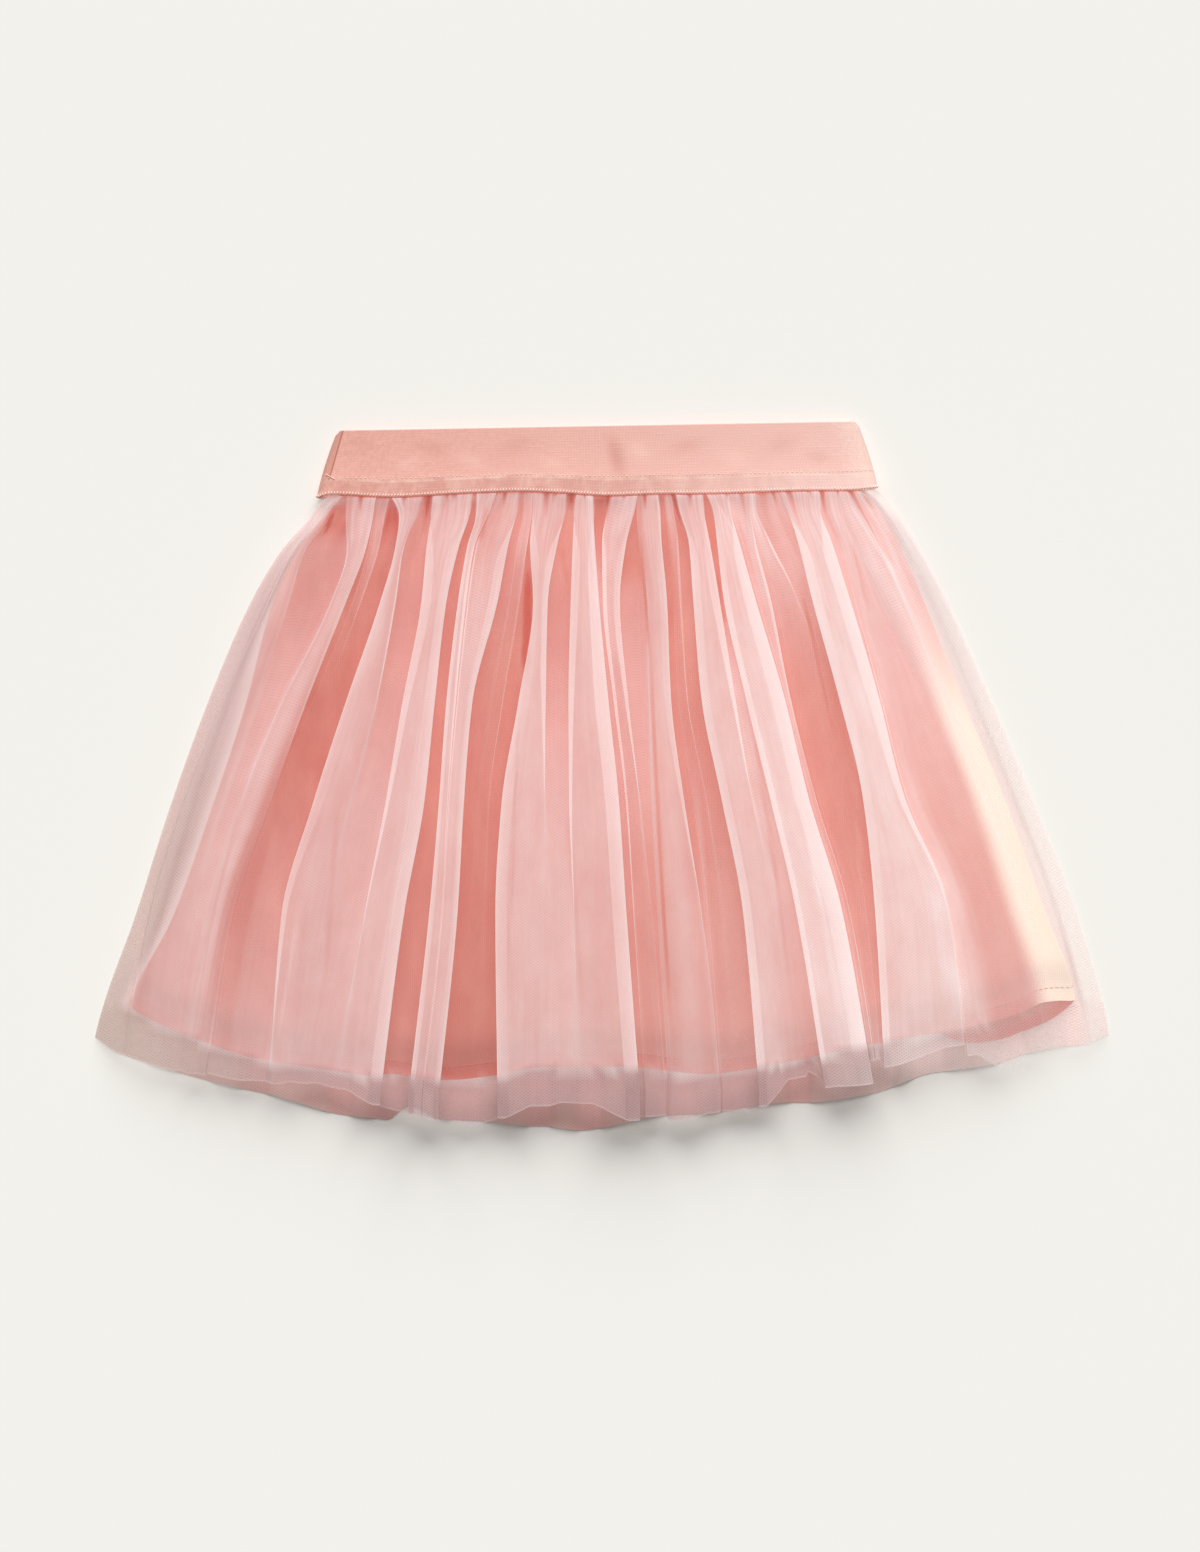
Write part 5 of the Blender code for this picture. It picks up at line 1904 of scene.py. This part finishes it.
@dataclass
class Waistband:
    """The ring of woven elastic over the gathered edges."""

    finish: Material
    height: float = 32.0
    wall: float = 1.3
    half_seam: float = 135.0
    half_top: float = 125.3
    middle_x: float = -1.8
    rows: int = 49
    flat_points: int = 200
    round_points: int = 14
    # The ridge, which carries a painted highlight, stands this far above the seam.
    ridge_up: float = 7.5
    ridge_half: float = 1.5
    ridge_sway: float = 0.3
    ridge_sway_length: float = 17.0
    pucker_pitch: float = 7.0
    pucker: float = 0.18
    pucker_drift: float = 0.7
    pucker_drift_length: float = 11.0
    pucker_up: float = 2.0
    pucker_reach: float = 6.0
    wave_fade: float = 20.0
    even_normals: float = 0.8
    belly: float = 0.7
    top_round: float = 1.2
    top_from: Span = (0.92, 0.08)
    # Where the band's right end starts to take its painted glow of light.
    painted_glow_from: Span = (0.86, 0.14)
    # How strongly the dents and swells are painted with shade and light.
    dent_tone: float = 0.8
    dent_heights: Span = (3.0, 2.0)
    faces_up: float = -0.2
    # How far towards the front each starts, as a share of the thickness, and how fast it comes up.
    dents_start: Ends = (0.5, 2.0)
    puckers_start: Ends = (0.6, 2.5)
    waves_start: Ends = (0.3, 2.0)

    def half_width(self, up: Number) -> Array:
        """Half the ring's width at a distance up from its seam; its ends belly out and round in on top.

        Args:
            up: the distance above the seam.

        Returns:
            Half the width, in millimetres.
        """
        share = np.asarray(up) / self.height
        rounding = self.top_round * ramp(share, *self.top_from)
        belly = self.belly * np.sin(np.pi * np.clip(share, 0.0, 1.0)) - rounding
        return self.half_seam + share * (self.half_top - self.half_seam) + belly

    def dents(self, x: Array, up: Number) -> Array:
        """How deep the front is dented at x, a distance up from its seam.

        Args:
            x: places across the skirt.
            up: the distance above the seam.

        Returns:
            The depth, which is below 0 in a swell.
        """
        deep = np.zeros(np.broadcast(x, up).shape)
        for dent in BAND_DENTS:
            beside = (x - dent.at - dent.lean * (up - dent.up)) / dent.half_width
            deep = deep + dent.depth * bump(beside) * bump((up - dent.up) / dent.half_height)
        return deep

    def ring(self, up: float, out: float = 0.0, lowest: float = 0.05) -> Array:
        """The outer points of one flattened ring, from the back's left end round to the front.

        Args:
            up: the distance above the seam.
            out: how far outside the band's face the points are.
            lowest: the least height over the floor.

        Returns:
            An array (points, 3).
        """
        thickness = float(table_curve(BAND_RINGS, "value", np.array(up)))
        radius = thickness / 2.0
        flat = float(self.half_width(up)) - radius
        across = np.linspace(-flat, flat, self.flat_points)
        turns = np.pi * (np.arange(self.round_points) + 1) / (self.round_points + 1)
        reach = radius + out
        beside, above = reach * np.sin(turns), reach * np.cos(turns)
        level = np.full(self.flat_points, out)
        x = np.concatenate([across, flat + beside, across[::-1], -flat - beside])
        z = np.concatenate([-level, radius - above, thickness + level, radius + above])
        front = z / max(thickness, 1e-6)
        dented, puckered, waved = (
            ease((front - start) * rate)
            for start, rate in (self.dents_start, self.puckers_start, self.waves_start)
        )
        z = z - self.dents(x, up) * dented
        near_seam = fade(abs(up - self.pucker_up), 0.0, self.pucker_reach)
        drift = self.pucker_drift * np.sin(x / self.pucker_drift_length)
        puckers = self.pucker * np.sin(2.0 * np.pi * x / self.pucker_pitch + drift)
        z = z + puckers * near_seam * puckered
        x = x + self.middle_x
        lower = band_edge(x) * fade(up, 0.0, self.wave_fade) * waved
        return np.stack([x, FORM.waist(x) + up - lower, np.maximum(z, lowest)], axis=1)

    def level_normals(self, normals: Array) -> Array:
        """Normals that face up or down, but keep their turn to the side at the band's ends."""
        facing = np.where(normals[:, 2] > self.faces_up, 1.0, -1.0)
        return np.stack([normals[:, 0], np.zeros(len(normals)), facing], axis=1)

    def build(self) -> Piece:
        """Makes the band.

        Returns:
            The band's object.
        """
        ups = np.linspace(0.0, self.height, self.rows)
        points = np.stack([self.ring(float(up)) for up in ups], axis=1)
        around = np.concatenate([points, points[:1]], axis=0)
        lengths = np.linalg.norm(np.diff(around[:, 0], axis=0), axis=1)
        u = np.concatenate([[0.0], np.cumsum(lengths)])[:, None] + np.zeros((1, self.rows))
        v = ups[None, :] + np.zeros((len(around), 1))
        share = (points[:, :, 0] - self.middle_x) / self.half_width(ups)[None, :]
        painted_glow = ramp(share, *self.painted_glow_from)
        seam = fade(ups, self.ridge_up, 1.0) + 0.0 * painted_glow
        # A painted highlight along the raised ridge, which sways a little.
        sway = self.ridge_sway * np.sin(points[:, :, 0] / self.ridge_sway_length)
        ridge = bump((ups - self.ridge_up + sway) / self.ridge_half)
        # The dents are painted darker and the swells lighter, as the shade and light they would catch.
        deep = self.dents(points[:, :, 0] - self.middle_x, ups[None, :])
        deep = deep * ramp(points[:, :, 2], *self.dent_heights)
        dented, swell_highlight = (np.clip(way * deep, 0.0, 1.0) * self.dent_tone for way in (1.0, -1.0))
        values = {"painted_glow": painted_glow, "seam": seam, "ridge": ridge, "dented": dented, "swell_highlight": swell_highlight}
        cloth = ClothGrid("waistband_ring", points, np.stack([u, v], axis=2), closed=True, values=values)
        piece = cloth.to_object(self.finish)
        give_shell(piece, self.wall, -1.0)
        bake_shell(piece)
        blend_normals(piece, self.even_normals, self.level_normals)
        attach(piece, "root")
        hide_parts("waistband")
        return piece


# ---------------------------------------------------------------- stitches
@dataclass(frozen=True)
class StitchKind:
    """The size of one sort of stitch, in millimetres."""

    pitch: float
    length: float
    width: float
    lean: float


class Stitches(Enum):
    """The sorts of stitch on the skirt."""

    COVER = StitchKind(1.45, 1.5, 0.68, 1.35)
    RIDGE = StitchKind(2.2, 1.1, 0.32, 0.0)
    HEM = StitchKind(2.6, 2.1, 0.26, 0.0)
    TACK = StitchKind(1.3, 1.5, 0.36, 0.0)


TACK_LINE = np.array([(-131.6, 144.6, 9.0), (-130.0, 143.6, 9.5), (-128.2, 142.6, 9.6)])


class StitchMaker:
    """Lays stitches along a line with Geometry Nodes."""

    unevenness: Ends = (-0.12, 0.12)

    def __init__(self, finish: Material) -> None:
        """Builds the node tree, which every row of stitches shares.

        Args:
            finish: the thread's material.
        """
        self.tree = bpy.data.node_groups.new("stitches_along_a_line", "GeometryNodeTree")
        face = self.tree.interface
        face.new_socket("Geometry", in_out="INPUT", socket_type="NodeSocketGeometry")
        kinds = {**dict.fromkeys(("Pitch", "Length", "Width", "Lean"), "Float"), "Seed": "Int"}
        self.sockets = {
            name: face.new_socket(name, in_out="INPUT", socket_type=f"NodeSocket{kind}").identifier
            for name, kind in kinds.items()
        }
        face.new_socket("Geometry", in_out="OUTPUT", socket_type="NodeSocketGeometry")

        def put(kind: str, given: Inputs, output: str | int = 0, **settings: object) -> object:
            """Adds a node and returns one of its outputs."""
            return add_node(self.tree, kind, given, **settings).outputs[output]

        given = add_node(self.tree, "NodeGroupInput", {}).outputs
        points = {"Curve": given["Geometry"], "Length": given["Pitch"]}
        along = add_node(self.tree, "GeometryNodeCurveToPoints", points, mode="LENGTH").outputs
        bead = put("GeometryNodeMeshUVSphere", {"Segments": 6, "Rings": 4, "Radius": 0.5}, "Mesh")
        size = put("ShaderNodeCombineXYZ", {"X": given["Width"], "Y": given["Width"], "Z": given["Length"]})
        stitch = put("GeometryNodeTransform", {"Geometry": bead, "Scale": size}, "Geometry")
        least, most = self.unevenness
        chance = {2: least, 3: most, "Seed": given["Seed"]}
        uneven = put("FunctionNodeRandomValue", chance, 1, data_type="FLOAT")
        lean = put("ShaderNodeMath", {0: given["Lean"], 1: uneven}, operation="ADD")
        turn = {"Rotation": along["Rotation"], "Rotate By": put("ShaderNodeCombineXYZ", {"Y": lean})}
        turned = put("FunctionNodeRotateRotation", turn, rotation_space="LOCAL")
        row = {"Points": along["Points"], "Instance": stitch, "Rotation": turned}
        real = put("GeometryNodeRealizeInstances", {0: put("GeometryNodeInstanceOnPoints", row)})
        dressed = put("GeometryNodeSetMaterial", {"Geometry": real, "Material": finish})
        add_node(self.tree, "NodeGroupOutput", {0: dressed})

    def sew(
        self, name: str, lines: Sequence[Array], kind: Stitches, seed: int
    ) -> Piece:
        """Sews stitches along lines.

        Args:
            name: the piece's name.
            lines: arrays (points, 3) in millimetres.
            kind: the sort of stitch.
            seed: for the small unevenness of the stitches.

        Returns:
            The stitches as one plain mesh.
        """
        curve = bpy.data.curves.new(name + "_line", "CURVE")
        curve.dimensions = "3D"
        for line in lines:
            spline = curve.splines.new("POLY")
            spline.points.add(len(line) - 1)
            flat = np.concatenate([line * MM, np.ones((len(line), 1))], axis=1)
            spline.points.foreach_set("co", flat.astype(np.float32).ravel())
        guide = show(name + "_line", curve)
        modifier = guide.modifiers.new("stitches", "NODES")
        modifier.node_group = self.tree
        sizes = kind.value
        for label, value in (("Pitch", sizes.pitch), ("Length", sizes.length), ("Width", sizes.width)):
            modifier[self.sockets[label]] = value * MM
        modifier[self.sockets["Lean"]] = sizes.lean
        modifier[self.sockets["Seed"]] = seed
        mesh = baked_mesh(guide, name)
        bpy.data.objects.remove(guide)
        mesh.shade_smooth()
        piece = show(name, mesh)
        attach(piece, "root")
        log_made(piece)
        return piece


# ---------------------------------------------------------------- the studio
@dataclass(frozen=True)
class Studio:
    """The floor, the lights and the camera."""

    floor_size: float = 30.0
    camera_height: float = 1.767
    lens: float = 85.0
    sun_strength: float = 5.36
    sun_elevation: float = 32.0
    sun_azimuth: float = 3.0
    sun_spread: float = 55.0
    sky_colour: Colour = (1.0, 0.995, 0.985, 1.0)
    sky_strength: float = 0.22
    camera_x: float = -0.0005
    camera_y: float = 0.0
    sensor: float = 36.0

    def build(self) -> None:
        """Makes everything that isn't the skirt."""
        mesh = bpy.data.meshes.new("floor")
        half = self.floor_size / 2.0
        corners = [(x * half, y * half, 0.0) for x, y in ((-1, -1), (1, -1), (1, 1), (-1, 1))]
        mesh.from_pydata(corners, [], [(0, 1, 2, 3)])
        mesh.materials.append(FloorFinish("pale_floor").build())
        floor = show("floor", mesh)
        world = bpy.data.worlds.new("studio")
        world.use_nodes = True
        back = world.node_tree.nodes["Background"]
        back.inputs["Color"].default_value = self.sky_colour
        back.inputs["Strength"].default_value = self.sky_strength
        bpy.context.scene.world = world
        lamp = bpy.data.lights.new("window", "SUN")
        lamp.energy = self.sun_strength
        lamp.angle = math.radians(self.sun_spread)
        sun = show("window", lamp)
        lean, turn = math.radians(-(90.0 - self.sun_elevation)), math.radians(-self.sun_azimuth)
        sun.rotation_euler = (lean, 0.0, turn)
        camera = bpy.data.cameras.new("camera")
        camera.lens = self.lens
        camera.sensor_width = self.sensor
        eye = show("camera", camera)
        eye.location = (self.camera_x, self.camera_y, self.camera_height)
        bpy.context.scene.camera = eye
        bpy.context.scene.view_settings.view_transform = "Standard"
        bpy.context.scene.cycles.transparent_max_bounces = 32


def main() -> None:
    """Builds the skirt, piece by piece."""
    logging.basicConfig(level=logging.INFO, format="%(name)s: %(message)s")
    Studio().build()
    net_front = NetFinish("net_front").build()
    # The back net's hanging part is also painted darker as shade, and lighter to the right.
    net_back = NetFinish(
        "net_back",
        hang_painted_shade=(0.73, 0.425, 0.40, 1.0),
        hang_painted_shade_right=(0.88, 0.72, 0.69, 1.0),
        hanging_contrast=0.12,
        shade_share=1.0,
        hanging_shade_share=1.2,
    ).build()
    jersey = JerseyFinish("jersey").build()
    elastic = ElasticFinish("elastic").build()
    band_maker = StitchMaker(ThreadFinish("band_thread").build())
    hem_thread = ThreadFinish("hem_thread", (0.60, 0.20, 0.16, 1.0), (0.50, 0.13, 0.10, 1.0))
    hem_maker = StitchMaker(hem_thread.build())

    log_made(BackNet(net_back).build())
    back = LiningPanel("lining_back", jersey, (), BACK_HEM_DIPS, False, "net_back_panel", hem_fall=1.9)
    creases, dips = FRONT_LINING_CREASES, FRONT_HEM_DIPS
    front = LiningPanel("lining_front", jersey, creases, dips, True, "lining_back_panel")
    for seed, panel in enumerate((back, front), 1):
        piece = panel.build()
        hem = hem_maker.sew(panel.node + "_hem", [panel.hem_line()], Stitches.HEM, seed)
        panel.declare(piece, hem)
        log_made(piece)
    log_made(FrontNet(net_front).build())

    band = Waistband(elastic)
    ring = band.build()
    cover_line = band.ring(up=0.75, out=0.2, lowest=0.35)
    ridge_line = band.ring(up=8.6, out=0.06, lowest=0.2)
    cover = band_maker.sew("cover_stitches", [cover_line], Stitches.COVER, 7)
    ridge = band_maker.sew("ridge_stitches", [ridge_line], Stitches.RIDGE, 8)
    tack = band_maker.sew("tack_stitch", [TACK_LINE], Stitches.TACK, 9)
    log_made(ring)


if __name__ == "__main__":
    main()
